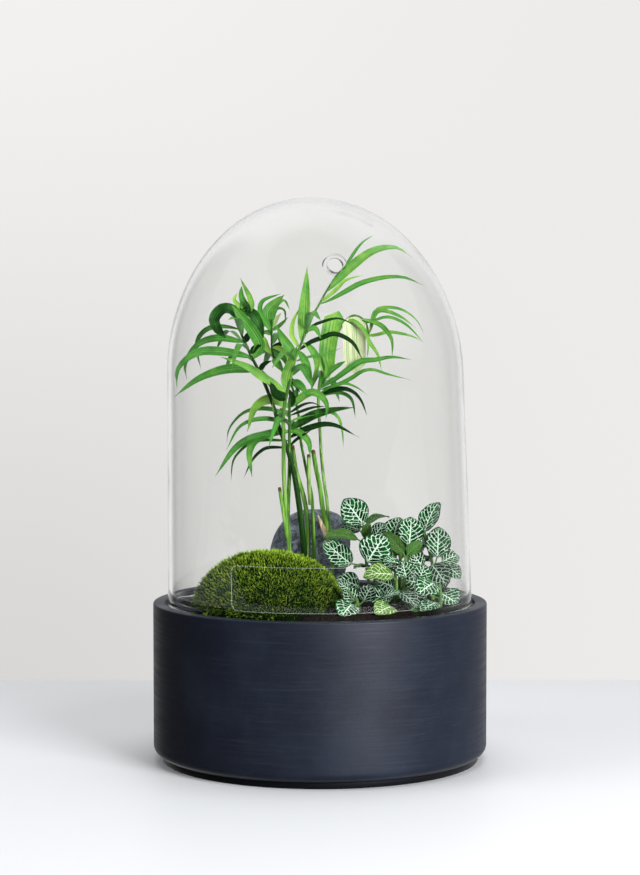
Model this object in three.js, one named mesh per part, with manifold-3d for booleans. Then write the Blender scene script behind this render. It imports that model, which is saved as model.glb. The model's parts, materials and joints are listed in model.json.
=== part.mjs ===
// A closed glass terrarium: a turned bowl with gravel and soil, a blown glass dome that stands on
// the bowl's ledge, and the planting inside it - a cushion of moss, a river stone, a clump of
// parlour palm seedlings and a nerve plant. Millimetres, +Z up, origin under the middle of the foot.
import * as THREE from "three";
import { mergeVertices } from "three/addons/utils/BufferGeometryUtils.js";
import Module from "manifold-3d";

const wasm = await Module();
wasm.setup();
const { Manifold, Mesh } = wasm;

// ---------------------------------------------------------------- driving dimensions, mm
const SEAT_GAP = 0.3; // between two pieces that touch
const ROUND = 36; // facets round the bowl and the dome

const BOWL = {
  radius: 120, top: 113.8, foot: 114, footHeight: 4.5, footRing: 100, recess: 1.5,
  corner: 7, rimInner: 111.2, ledge: 110.5, inner: 103, floor: 14, innerCorner: 10, edge: 1.4,
};
const GRAVEL_TOP = 34;
const SOIL = { edge: 108.5, heap: 9, slope: 18 };
const DOME = {
  base: 109.4, shoulder: 106.2, shoulderHeight: 275, top: 403.5, wall: 2.8, crown: 3.1,
  bead: 1.6, beadHeight: 7, lean: -0.0195,
};
const VENT = { turn: 11.7, height: 357, rise: 12, hole: 5.8, lip: 2.1, lipHeight: 3 };
const LABEL = { from: -33, to: 36.5, bottom: 118.5, height: 31, corner: 5, film: 0.5 };
const STONE = { at: [-10, 37, 137], half: [30, 21.5, 40] };
const MOSS = { at: [-37, -53], half: [54, 42], height: 47, tuft: 1.5, limit: 102.2 };
const ROOT_DEPTH = 24;

// Palm leaflets: share of the length from the root, and the width there as a share of the widest.
const LEAFLET = { at: [0, 0.22, 0.55, 0.86], width: [0.1, 0.84, 1, 0.46], rib: 0.6 };
const SHORT_LEAFLET = { at: [0, 0.4, 0.82], width: [0.15, 1, 0.58], under: 22 };
const NERVE_LEAF = {
  at: [0, 0.2, 0.5, 0.82], width: [0.14, 0.8, 1, 0.6], half: 0.42, cup: 0.14,
  wave: 0.035, arch: 0.1, stalk: 0.75,
};

// ---------------------------------------------------------------- small helpers
const point = (p) => new THREE.Vector3(...p);
const degrees = THREE.MathUtils.degToRad;
const mix = THREE.MathUtils.lerp;
const ramp = THREE.MathUtils.smoothstep;

// A closed three.js geometry as a solid that can be joined and cut.
function solid(geometry) {
  const bare = geometry.clone();
  bare.deleteAttribute("normal");
  bare.deleteAttribute("uv");
  const merged = mergeVertices(bare, 1e-4);
  return new Manifold(new Mesh({
    numProp: 3,
    vertProperties: new Float32Array(merged.attributes.position.array),
    triVerts: new Uint32Array(merged.index.array),
  }));
}

function join(solids) {
  return solids.reduce((all, next) => all.add(next));
}

// A solid as a named mesh.
function piece(name, shape, material) {
  const made = shape.getMesh();
  const geometry = new THREE.BufferGeometry();
  geometry.setAttribute("position", new THREE.BufferAttribute(made.vertProperties, 3));
  geometry.setIndex(new THREE.BufferAttribute(made.triVerts, 1));
  const mesh = new THREE.Mesh(geometry, material);
  mesh.name = name;
  return mesh;
}

// A profile of [radius, height] points turned about Z.
function turned(profile, facets = ROUND) {
  const lathe = new THREE.LatheGeometry(profile.map(([r, z]) => new THREE.Vector2(r, z)), facets);
  lathe.rotateX(Math.PI / 2);
  return lathe;
}

// Points of an arc in a profile, from one angle to another in degrees.
function arc(r, z, radius, from, to, steps) {
  return Array.from({ length: steps + 1 }, (_, i) => {
    const a = degrees(mix(from, to, i / steps));
    return [r + radius * Math.cos(a), z + radius * Math.sin(a)];
  });
}

// Closed skin over rings of equal length; each end closes on its own middle point.
function loft(rings, start, end) {
  const sides = rings[0].length;
  const vertices = [...rings.flat(), start, end];
  const first = vertices.length - 2;
  const last = vertices.length - 1;
  const faces = [];
  for (let j = 0; j < sides; j += 1) {
    const k = (j + 1) % sides;
    for (let i = 0; i + 1 < rings.length; i += 1) {
      const a = i * sides;
      const b = a + sides;
      // Both skins of a blade are split along the same diagonals.
      const turn = j < sides / 2;
      if (turn) faces.push(a + j, a + k, b + k, a + j, b + k, b + j);
      else faces.push(a + j, a + k, b + j, a + k, b + k, b + j);
    }
    const top = (rings.length - 1) * sides;
    faces.push(first, k, j);
    faces.push(last, top + j, top + k);
  }
  const geometry = new THREE.BufferGeometry();
  const flat = vertices.flatMap((v) => [v.x, v.y, v.z]);
  geometry.setAttribute("position", new THREE.Float32BufferAttribute(flat, 3));
  // The rings may run either way round: the skin is turned to face out.
  const [a, b, c] = [0, 0, 0].map(() => new THREE.Vector3());
  let volume = 0;
  for (let i = 0; i < faces.length; i += 3) {
    a.copy(vertices[faces[i]]);
    b.copy(vertices[faces[i + 1]]);
    c.copy(vertices[faces[i + 2]]);
    volume += a.dot(b.cross(c));
  }
  geometry.setIndex(volume < 0 ? faces.reverse() : faces);
  return solid(geometry);
}

// Round stalk through points, its radius running from the first to the last value given.
function stalk(points, radii, sides = 5) {
  const curve = new THREE.CatmullRomCurve3(points.map(point));
  const count = points.length - 1;
  const side = new THREE.Vector3(0, 1, 0);
  const rings = [];
  for (let i = 0; i <= count; i += 1) {
    const s = i / count;
    const centre = curve.getPoint(s);
    const along = curve.getTangent(s);
    const across = new THREE.Vector3().crossVectors(side, along).normalize();
    const other = new THREE.Vector3().crossVectors(along, across);
    const slot = s * (radii.length - 1);
    const low = Math.min(Math.floor(slot), radii.length - 2);
    const radius = mix(radii[low], radii[low + 1], slot - low);
    rings.push(Array.from({ length: sides }, (_, j) => {
      const a = (j / sides) * 2 * Math.PI;
      return centre.clone()
        .addScaledVector(across, radius * Math.cos(a))
        .addScaledVector(other, radius * Math.sin(a));
    }));
  }
  return loft(rings, curve.getPoint(0), curve.getPoint(1));
}

// The point of a stem's line at a height, counted from its root.
function atHeight(points, height) {
  for (let i = 0; i + 1 < points.length; i += 1) {
    const [a, b] = [points[i], points[i + 1]];
    if (a[2] <= height && height <= b[2]) {
      const s = (height - a[2]) / Math.max(b[2] - a[2], 1e-6);
      return a.map((v, n) => mix(v, b[n], s));
    }
  }
  return points[points.length - 1];
}

// Which way a blade's upper face looks: 0 is straight up, 90 is level towards -Y.
function facing(tilt, yaw = 0) {
  const [f, y] = [degrees(tilt), degrees(yaw)];
  return new THREE.Vector3(Math.sin(f) * Math.sin(y), -Math.sin(f) * Math.cos(y), Math.cos(f));
}

// Axes across and out of a blade that runs along a direction.
function bladeAxes(along, face) {
  const across = new THREE.Vector3().crossVectors(along, face).normalize();
  return [across, new THREE.Vector3().crossVectors(across, along).normalize()];
}

// A strap-shaped palm leaflet: thin, keeled along its rib, arching from its root over its crest.
function leaflet(root, crest, tip, width, face) {
  const line = new THREE.CatmullRomCurve3([root, crest, tip].map(point), false, "centripetal");
  const form = line.getLength() < SHORT_LEAFLET.under ? SHORT_LEAFLET : LEAFLET;
  const rings = form.at.map((s, i) => {
    const [across, out] = bladeAxes(line.getTangent(s), face);
    const half = 0.5 * width * form.width[i];
    const centre = line.getPoint(s);
    const place = (u, v) => centre.clone().addScaledVector(across, u).addScaledVector(out, v);
    const fold = 0.22 * half;
    return [place(-half, fold), place(0, -LEAFLET.rib), place(half, fold), place(0, LEAFLET.rib)];
  });
  return loft(rings, line.getPoint(0), line.getPoint(1));
}

// A broad nerve-plant leaf on its stalk: cupped halves, waved edges and a recurved tip. A full
// leaf has four folds across, a plain one two.
function nerveLeaf(joint, root, tip, width, face, phase, full = true) {
  const [a, b] = [point(root), point(tip)];
  const length = a.distanceTo(b);
  const along = b.clone().sub(a).normalize();
  const [across, out] = bladeAxes(along, face);
  const section = full ? [[-1, 0], [-0.52, -1], [0, -1], [0.52, -1], [1, 0], [0.52, 1], [0, 1],
    [-0.52, 1]] : [[-1, 0], [0, -1], [1, 0], [0, 1]];
  const skin = NERVE_LEAF.half * (full ? 1 : 1.3);
  const rings = NERVE_LEAF.at.map((s, i) => {
    const half = 0.5 * width * NERVE_LEAF.width[i];
    const rise = NERVE_LEAF.arch * length * Math.sin(Math.PI * s);
    const centre = a.clone().lerp(b, s).addScaledVector(out, rise);
    const ripple = NERVE_LEAF.wave * width * (i % 2 ? 1 : -1);
    const swell = 0.3 * Math.sin(phase + 3 * i);
    return section.map(([u, v]) => {
      const lift = NERVE_LEAF.cup * half * Math.abs(u) ** 0.6 + Math.abs(u) * (ripple + swell);
      return centre.clone().addScaledVector(across, u * half).addScaledVector(out, lift + v * skin);
    });
  });
  const neck = section.map(([u, v]) => {
    const r = NERVE_LEAF.stalk;
    return point(joint).addScaledVector(across, u * r).addScaledVector(out, v * r);
  });
  return loft([neck, ...rings], point(joint), b.clone().addScaledVector(out, -0.04 * length));
}

// A repeatable value from -1 to 1 for a pair of numbers.
function scatter(a, b) {
  const v = Math.sin(a * 127.1 + b * 311.7) * 43758.5453;
  return 2 * (v - Math.floor(v)) - 1;
}

// ---------------------------------------------------------------- materials
const paint = (color, roughness, metalness = 0) =>
  new THREE.MeshStandardMaterial({ color, roughness, metalness });
const finish = {
  bowl: paint(0x23262f, 0.5),
  gravel: paint(0x8a5a3c, 0.9),
  soil: paint(0x2a1f18, 0.95),
  glass: new THREE.MeshStandardMaterial({
    color: 0xeaf2ef, roughness: 0.03, transparent: true, opacity: 0.25,
  }),
  film: new THREE.MeshStandardMaterial({
    color: 0xffffff, roughness: 0.2, transparent: true, opacity: 0.3,
  }),
  stone: paint(0x6a6d73, 0.8),
  moss: paint(0x5d8a1f, 0.9),
  palm: paint(0x3f8a34, 0.45),
  nerve: paint(0x2f6b46, 0.5),
};

// ---------------------------------------------------------------- bowl and filling
function bowl() {
  const b = BOWL;
  const e = b.edge;
  return solid(turned([
    [0, b.recess], [b.footRing - 2, b.recess], [b.footRing, 0], [b.foot, 0], [b.foot, b.footHeight],
    ...arc(b.radius - b.corner, b.footHeight + b.corner, b.corner, -75, 0, 2),
    ...arc(b.radius - e, b.top - e, e, 0, 90, 2),
    ...arc(b.rimInner + e, b.top - e, e, 90, 180, 2),
    [b.rimInner, b.ledge], [b.inner, b.ledge],
    ...arc(b.inner - b.innerCorner, b.floor + b.innerCorner, b.innerCorner, 0, -90, 1),
    [0, b.floor],
  ]));
}

function gravel() {
  const corner = BOWL.innerCorner;
  const wall = BOWL.inner - SEAT_GAP;
  const floor = BOWL.floor + SEAT_GAP;
  return solid(turned([
    [0, floor], ...arc(wall - corner, floor + corner, corner, -90, 0, 1),
    [wall, GRAVEL_TOP], [0, GRAVEL_TOP],
  ]));
}

// Height of the soil: level at the wall, heaped up under the nerve plant on the right.
function soilHeight(x, y) {
  const inward = BOWL.inner - Math.hypot(x, y);
  return SOIL.edge + SOIL.heap * ramp(inward, 0, SOIL.slope) * ramp(x, -40, 50);
}

function soilBody() {
  const wall = BOWL.inner - SEAT_GAP;
  const radii = [wall, 93, 72, 38];
  const base = GRAVEL_TOP + SEAT_GAP;
  const ring = (radius, height) => Array.from({ length: ROUND }, (_, j) => {
    const a = (j / ROUND) * 2 * Math.PI;
    const [x, y] = [radius * Math.cos(a), radius * Math.sin(a)];
    return new THREE.Vector3(x, y, height === undefined ? soilHeight(x, y) : height);
  });
  const rings = [ring(wall, base), ...radii.map((radius) => ring(radius))];
  return loft(rings, new THREE.Vector3(0, 0, base), new THREE.Vector3(0, 0, soilHeight(0, 0)));
}

// ---------------------------------------------------------------- dome, vent and label
const domeShift = (height) => DOME.lean * (height - BOWL.ledge);

function domeRadius(height, inset = 0, crownInset = inset) {
  const d = DOME;
  if (height <= d.shoulderHeight) {
    const share = (height - BOWL.ledge) / (d.shoulderHeight - BOWL.ledge);
    return mix(d.base, d.shoulder, share) - inset;
  }
  const rise = (height - d.shoulderHeight) / (d.top - crownInset - d.shoulderHeight);
  return (d.shoulder - inset) * Math.sqrt(Math.max(0, 1 - rise * rise));
}

// One skin of the dome from its foot to its crown, inset by the wall.
function domeSkin(inset, crownInset, foot, turns) {
  const d = DOME;
  const crown = Array.from({ length: turns + 1 }, (_, i) => {
    const a = (i / turns) * 0.5 * Math.PI;
    const height = d.shoulderHeight + (d.top - crownInset - d.shoulderHeight) * Math.sin(a);
    return [(d.shoulder - inset) * Math.cos(a), height];
  });
  crown[turns][0] = 0;
  return [[domeRadius(foot, inset), foot], ...crown];
}

// Middle of the vent in the wall, and its axis, which lies nearly level.
function ventFrame() {
  const [turn, rise] = [degrees(VENT.turn), degrees(VENT.rise)];
  const radius = domeRadius(VENT.height, 0.5 * DOME.wall);
  const out = new THREE.Vector3(
    Math.cos(rise) * Math.sin(turn), Math.cos(rise) * Math.cos(turn), Math.sin(rise));
  const at = new THREE.Vector3(
    radius * Math.sin(turn) + domeShift(VENT.height), radius * Math.cos(turn), VENT.height);
  return { at, out };
}

// Turns geometry built about Z so that Z runs along a direction, and moves it.
function along(geometry, at, direction) {
  const turn = new THREE.Quaternion().setFromUnitVectors(new THREE.Vector3(0, 0, 1), direction);
  geometry.applyQuaternion(turn);
  geometry.translate(at.x, at.y, at.z);
  return geometry;
}

function rod(radius, length, at, direction, sides = 8) {
  const made = new THREE.CylinderGeometry(radius, radius, length, sides);
  made.rotateX(Math.PI / 2);
  return solid(along(made, at, direction));
}

function dome() {
  const d = DOME;
  const foot = BOWL.ledge + SEAT_GAP;
  const outer = domeSkin(0, 0, foot + d.beadHeight, 6);
  const inner = domeSkin(d.wall, d.crown, foot + d.beadHeight, 6).reverse();
  const beadOut = domeRadius(foot) + 0.4;
  const beadIn = domeRadius(foot, d.wall) - d.bead;
  const half = 0.5 * (beadOut - beadIn);
  const bead = arc(beadIn + half, foot + half, half, -180, 0, 4);
  const geometry = turned([...bead, ...outer, ...inner, bead[0]]);
  const place = geometry.attributes.position;
  for (let i = 0; i < place.count; i += 1) {
    place.setX(i, place.getX(i) + domeShift(place.getZ(i)));
  }
  const { at, out } = ventFrame();
  const ringRadius = VENT.hole + VENT.lip;
  const lip = arc(ringRadius, 0, 1, 0, 360, 6).map(([r, z]) =>
    [ringRadius + (r - ringRadius) * VENT.lip, z * VENT.lipHeight]);
  lip[6] = lip[0];
  return solid(geometry)
    .add(solid(along(turned(lip, 12), at, out)))
    .subtract(rod(VENT.hole, 20, at, out, 12));
}

// Clear film with round corners, wrapped on the front of the dome.
function labelFilm() {
  const l = LABEL;
  const inner = DOME.base + SEAT_GAP;
  const width = degrees(l.to - l.from) * inner;
  const shape = new THREE.Shape();
  shape.moveTo(l.corner, 0);
  shape.lineTo(width - l.corner, 0);
  shape.absarc(width - l.corner, l.corner, l.corner, -0.5 * Math.PI, 0, false);
  shape.absarc(width - l.corner, l.height - l.corner, l.corner, 0, 0.5 * Math.PI, false);
  shape.absarc(l.corner, l.height - l.corner, l.corner, 0.5 * Math.PI, Math.PI, false);
  shape.absarc(l.corner, l.corner, l.corner, Math.PI, 1.5 * Math.PI, false);
  const outline = shape.getSpacedPoints(84).slice(0, -1);
  const wrap = (u, v, depth) => {
    const a = degrees(l.from) + u / inner;
    const radius = inner + depth;
    const height = l.bottom + v;
    return new THREE.Vector3(
      radius * Math.sin(a) + domeShift(height), -radius * Math.cos(a), height);
  };
  // Strips across the film, each between its lower and upper edge.
  const columns = 20;
  const reach = (u) => {
    const near = Math.min(u, width - u);
    const into = Math.max(0, l.corner - near);
    const cut = l.corner - Math.sqrt(Math.max(0, l.corner ** 2 - into ** 2));
    return [Math.min(cut, 0.49 * l.height), Math.max(l.height - cut, 0.51 * l.height)];
  };
  const stations = Array.from({ length: columns + 1 }, (_, i) => width * 0.5 *
    (1 - Math.cos((i / columns) * Math.PI)));
  const rings = stations.map((u) => {
    const [low, high] = reach(u);
    return [wrap(u, low, 0), wrap(u, low, l.film), wrap(u, high, l.film), wrap(u, high, 0)];
  });
  const middle = 0.5 * l.height;
  return loft(rings, wrap(0, middle, 0.5 * l.film), wrap(width, middle, 0.5 * l.film));
}

// ---------------------------------------------------------------- stone and moss
function stone(grow = 0) {
  const ball = new THREE.SphereGeometry(1, 18, 12);
  ball.rotateX(Math.PI / 2);
  const place = ball.attributes.position;
  for (let i = 0; i < place.count; i += 1) {
    const [x, y, z] = [place.getX(i), place.getY(i), place.getZ(i)];
    // A river cobble: broad shoulders, one flatter side, gentle hollows.
    const square = 1 / (Math.abs(x) ** 2.6 + Math.abs(y) ** 2.3 + Math.abs(z) ** 2.5) ** 0.4;
    const swell = 1 + 0.035 * Math.sin(2.1 * x + 1.3 * z + 0.7) + 0.03 * Math.sin(3.1 * z - 2 * y);
    const scale = square * swell;
    place.setXYZ(i,
      STONE.at[0] + x * scale * (STONE.half[0] + grow) + 2.5 * z,
      STONE.at[1] + y * scale * (STONE.half[1] + grow),
      STONE.at[2] + z * scale * (STONE.half[2] + grow));
  }
  return solid(ball);
}

// A dome of cushion moss with its tufts raised from its skin, cut to lie on the soil.
function moss(bed) {
  const [rings, sides] = [10, 40];
  const low = SOIL.edge - 4;
  const edgeOf = (a) => {
    const [c, s] = [Math.cos(a), Math.sin(a)];
    let reach = 1 / Math.hypot(c / MOSS.half[0], s / MOSS.half[1]);
    const lumps = 1 + 0.03 * Math.sin(3 * a + 1) + 0.02 * Math.sin(5 * a);
    reach *= lumps;
    // The glass presses its front in.
    while (Math.hypot(MOSS.at[0] + reach * c, MOSS.at[1] + reach * s) > MOSS.limit) reach -= 0.25;
    return reach;
  };
  const skin = (share, j) => {
    const a = (j / sides) * 2 * Math.PI;
    const reach = edgeOf(a) * share;
    const body = (1 - share ** 2.5) ** 0.62;
    const tuft = MOSS.tuft * scatter(j, Math.round(share * 40)) * (share < 0.99 ? 1 : 0.2);
    return new THREE.Vector3(
      MOSS.at[0] + reach * Math.cos(a), MOSS.at[1] + reach * Math.sin(a),
      SOIL.edge + 2 + MOSS.height * body + tuft);
  };
  const ring = (share) => Array.from({ length: sides }, (_, j) => skin(share, j));
  const base = ring(1).map((v) => new THREE.Vector3(v.x, v.y, low));
  const shares = Array.from({ length: rings }, (_, i) => 1 - (i / rings) ** 1.25);
  const rows = [base, ...shares.map(ring)];
  const middle = new THREE.Vector3(MOSS.at[0], MOSS.at[1], low);
  const crown = new THREE.Vector3(MOSS.at[0], MOSS.at[1], SOIL.edge + 2 + MOSS.height);
  return loft(rows, middle, crown).subtract(bed.translate([0, 0, SEAT_GAP]));
}

// ---------------------------------------------------------------- parlour palm seedlings
// A seedling: its stalks (line, radii) and its leaflets, each from a height on one stalk's line
// or a point of it over a crest to a tip, with its width and the tilt of its upper face.
const PALMS = {
  palm_1: {
    stalks: [
      { line: [[-22, -6, 150], [-24, -6, 173], [-25, -6, 188], [-26, -6, 209], [-26, -6, 227],
        [-26, -7, 250], [-24, -7, 262], [-21, -7, 274], [-18, -6, 287], [-15, -5, 295],
        [-9, -4, 310], [-5, -3, 319], [0, -1, 328], [5, 0, 337], [13, 1, 349], [19, 1, 354]],
      radii: [2.2, 2, 1.8, 1.7, 1.6, 1.4, 1.2, 1, 0.9, 0.8, 0.6], rooted: true,
      leaflets: [
        [301, [-12, -3, 327], [-9, -2, 356], 8.5, 80],
        [271, [-20, -10, 284], [-18, -11, 300], 9, 75],
        [261, [-45, -19, 281], [-70, -22, 290], 7.5, 62],
        [262, [-34, 4, 269], [-43, 7, 281], 9, 60],
        [291, [-23, -10, 301], [-30, -12, 309], 10.5, 70],
        [295, [-9, -9, 302], [-1, -11, 287], 9, 70],
        [273, [-16, -13, 282], [-12, -16, 294], 5, 70],
        [268, [-12, -8, 279], [-3, -11, 268], 10, 60],
        [270, [-9, -13, 278], [4, -15, 283], 5, 60],
        [286, [-7, -10, 292], [4, -12, 294], 3.5, 60],
        [265, [-32, -13, 268], [-39, -17, 258], 9, 60],
        [297, [-1, -3, 314], [16, -2, 318], 3.5, 65],
        [294, [-1, -6, 302], [9, -5, 307], 4, 65],
        [338, [36, 8, 365], [66, 10, 362], 6, 62],
        [348, [26, 2, 367], [38, 0, 377], 2.6, 60],
        [327, [33, -4, 344], [74, -10, 341], 4.6, 58],
        [336, [18, 1, 344], [29, 2, 348], 4, 60],
        [279, [-13, -34, 284], [-6, -58, 270], 7, 35],
        [287, [-25, -34, 293], [-33, -60, 283], 6.5, 35],
        [309, [-6, -30, 322], [1, -54, 315], 6, 35],
      ] },
      { line: [[-22, -5, 158], [-23, -3, 172], [-22, 3, 209], [-22, 5, 227], [-22, 5, 252],
        [-22, 5, 260]],
      radii: [1.8, 1.5, 1.2, 0.9],
      leaflets: [
        [253, [-42, 2, 260], [-52, -6, 236], 8, 65],
        [249, [-55, 12, 251], [-69, 24, 226], 4.5, 60],
        [243, [-50, 3, 245], [-67, -8, 222], 5, 60],
        [237, [-48, 4, 233], [-74, -10, 205], 6.5, 60],
        [238, [-46, 8, 229], [-50, 6, 203], 8.5, 65],
        [230, [-49, 14, 225], [-66, 20, 198], 4, 60],
        [227, [-42, 20, 221], [-57, 32, 198], 3.4, 60],
        [253, [-6, 4, 265], [4, -3, 245], 6.5, 60],
        [249, [1, 4, 253], [24, 0, 253], 5.5, 60],
        [244, [-1, 6, 250], [17, 5, 223], 3.6, 60],
        [237, [-11, 1, 236], [-7, -6, 221], 7, 65],
        [234, [4, 2, 244], [27, -4, 233], 6, 60],
        [246, [-27, 34, 250], [-34, 58, 231], 6, -35],
        [240, [-21, 36, 241], [-12, 56, 221], 6, -35],
        [241, [-29, -30, 246], [-36, -52, 227], 6, 35],
      ] },
      { line: [[-24, -6, 160], [-25, -7, 169], [-29, -8, 196]], radii: [1.4, 1.3], leaflets: [] },
    ],
  },
  palm_2: {
    stalks: [
      { line: [[-11, -2, 144], [-13, -2, 167], [-16, -2, 190], [-19, -2, 207], [-23, -2, 222],
        [-29, -2, 238], [-33, -3, 253], [-39, -4, 269], [-44, -5, 280], [-49, -7, 290],
        [-54, -8, 301], [-57, -9, 309], [-58, -10, 317], [-56, -10, 324]],
      radii: [2.2, 2.2, 2.4, 2.3, 1.9, 1.6, 1.3, 1.1, 0.9, 0.7], rooted: true,
      leaflets: [
        [279, [-76, -14, 283], [-104, -10, 261], 8.5, 60],
        [288, [-82, -18, 297], [-100, -24, 267], 7, 60],
        [301, [-80, -4, 305], [-96, 4, 272], 5.5, 58],
        [309, [-84, 2, 307], [-87, 14, 279], 4, 58],
        [308, [-75, -16, 324], [-66, -22, 304], 10, 60],
        [288, [-48, -17, 304], [-62, -16, 324], 11, 75],
        [322, [-52, -11, 334], [-58, -9, 347], 6, 70],
        [321, [-49, -13, 323], [-41, -13, 311], 9, 60],
        [318, [-63, -12, 328], [-70, -16, 319], 8, 60],
        [322, [-59, -6, 329], [-63, -4, 334], 5, 60],
        [314, [-48, -14, 317], [-40, -16, 306], 8, 60],
        [298, [-67, 22, 308], [-78, 46, 292], 6, -30],
        [286, [-61, 22, 293], [-72, 48, 276], 6, -30],
        [294, [-56, -38, 299], [-61, -64, 281], 6, 35],
        [305, [-58, -32, 317], [-63, -58, 316], 6, 30],
      ] },
    ],
  },
  palm_3: {
    stalks: [
      { line: [[-9, 6, 143], [-9, 7, 171], [-12, 8, 189], [-17, 9, 206], [-19, 10, 218],
        [-20, 10, 225]],
      radii: [2, 2, 1.8, 1.6], rooted: true, leaflets: [] },
    ],
  },
  palm_4: {
    stalks: [
      { line: [[-4, 1, 142], [-5, 2, 172], [-6, 4, 190], [-9, 7, 203], [-12, 9, 218],
        [-14, 11, 229], [-14, 12, 238], [-16, 12, 249], [-20, 12, 267], [-28, 12, 280],
        [-34, 12, 291], [-35, 12, 305], [-35, 13, 316]],
      radii: [2.1, 2, 1.8, 1.3, 1.1, 1, 1, 0.9, 0.8, 0.7], rooted: true,
      leaflets: [
        [314, [-39, 14, 328], [-28, 18, 336], 10, 60],
        [314, [-43, 13, 326], [-49, 17, 321], 6, 60],
        [309, [-28, 14, 319], [-23, 15, 324], 6, 60],
        [306, [-25, 13, 307], [-17, 14, 318], 5.5, 60],
        [304, [-41, 13, 303], [-45, 13, 309], 3.5, 60],
        [298, [-42, 12, 295], [-49, 12, 284], 8, 65],
        [296, [-26, 11, 295], [-20, 10, 283], 9, 65],
        [291, [-40, 13, 288], [-46, 14, 281], 7, 65],
        [287, [-26, 13, 284], [-22, 13, 274], 8, 65],
        [305, [-39, 34, 316], [-44, 60, 307], 6, -35],
        [298, [-31, 36, 307], [-29, 60, 296], 6, -35],
        [286, [-37, 36, 292], [-43, 62, 277], 6, -35],
      ] },
      { line: [[-7, 4, 183], [-8, 3, 199], [-8, 2, 219]], radii: [1.6, 1.5], leaflets: [] },
    ],
  },
  palm_5: {
    stalks: [
      { line: [[9, 3, 136], [7, 4, 161], [5, 6, 185], [3, 9, 199], [1, 13, 217], [0, 17, 235],
        [-1, 20, 254], [-1, 21, 263], [1, 22, 277], [8, 24, 294], [15, 25, 310], [24, 26, 319],
        [32, 26, 316], [36, 26, 306]],
      radii: [2.9, 2.3, 1.5, 1.3, 1.3, 1.2, 1.2, 1.2, 1.1, 1, 0.8, 0.7], rooted: true,
      leaflets: [
        [319, [49, 22, 325], [75, 16, 308], 4, 60],
        [317, [48, 34, 322], [71, 42, 311], 4.6, 60],
        [[33, 26, 315], [55, 30, 319], [77, 26, 299], 3.6, 60],
        [[35, 26, 309], [53, 28, 308], [73, 22, 302], 4, 60],
        [[32, 26, 316], [47, 18, 309], [53, 8, 290], 5, 60],
        [[30, 26, 317], [35, 21, 301], [35, 15, 288], 4.6, 65],
        [[35, 26, 308], [41, 26, 293], [45, 22, 279], 4, 65],
        [269, [33, 22, 285], [67, 16, 287], 4.6, 60],
        [267, [33, 14, 279], [65, 4, 273], 5.5, 60],
        [270, [6, 16, 280], [18, 12, 286], 5, 60],
        [268, [19, 18, 279], [32, 16, 287], 6.5, 60],
        [263, [18, 12, 270], [32, 6, 265], 4, 60],
        [261, [21, 18, 266], [35, 14, 248], 6, 60],
        [260, [17, 27, 263], [26, 27, 245], 4.6, 60],
        [264, [2, 12, 286], [6, 9, 302], 7, 75],
        [[21, 26, 317], [7, 18, 313], [8, 17, 276], 15, 80],
        [[28, 26, 318], [25, 21, 303], [23, 20, 277], 16, 80],
        [267, [8, 46, 272], [15, 70, 254], 6, -35],
        [312, [24, 50, 317], [30, 72, 302], 5, -35],
        [273, [-1, 44, 279], [-7, 68, 263], 6, -35],
      ] },
      { line: [[6, 4, 161], [2, 3, 180], [0, 3, 195], [-3, 3, 210], [-5, 3, 222]],
        radii: [2, 1.8, 1.7], leaflets: [] },
    ],
    sheath: [[7, 3.6, 156], [3, -1, 165], [-2, -1, 177], 4, 70],
  },
};

// Stems go straight down from their lowest listed point into the soil.
function rooted(line) {
  const [x, y, z] = line[0];
  const foot = soilHeight(x, y) - ROOT_DEPTH;
  const ground = soilHeight(x, y);
  return [[x, y, foot], [x, y, foot + 0.5 * ROOT_DEPTH], [x, y, ground + 2], [x, y, z - 6],
    ...line];
}

function palm(plant) {
  const solids = [];
  for (const stem of plant.stalks) {
    const line = stem.rooted ? rooted(stem.line) : stem.line;
    solids.push(stalk(line, stem.radii));
    for (const [from, crest, tip, width, tilt] of stem.leaflets) {
      const root = Array.isArray(from) ? from : atHeight(stem.line, from);
      solids.push(leaflet(root, crest, tip, width, facing(tilt)));
    }
  }
  if (plant.sheath) {
    const [root, crest, tip, width, tilt] = plant.sheath;
    solids.push(leaflet(root, crest, tip, width, facing(tilt)));
  }
  return join(solids);
}

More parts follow.
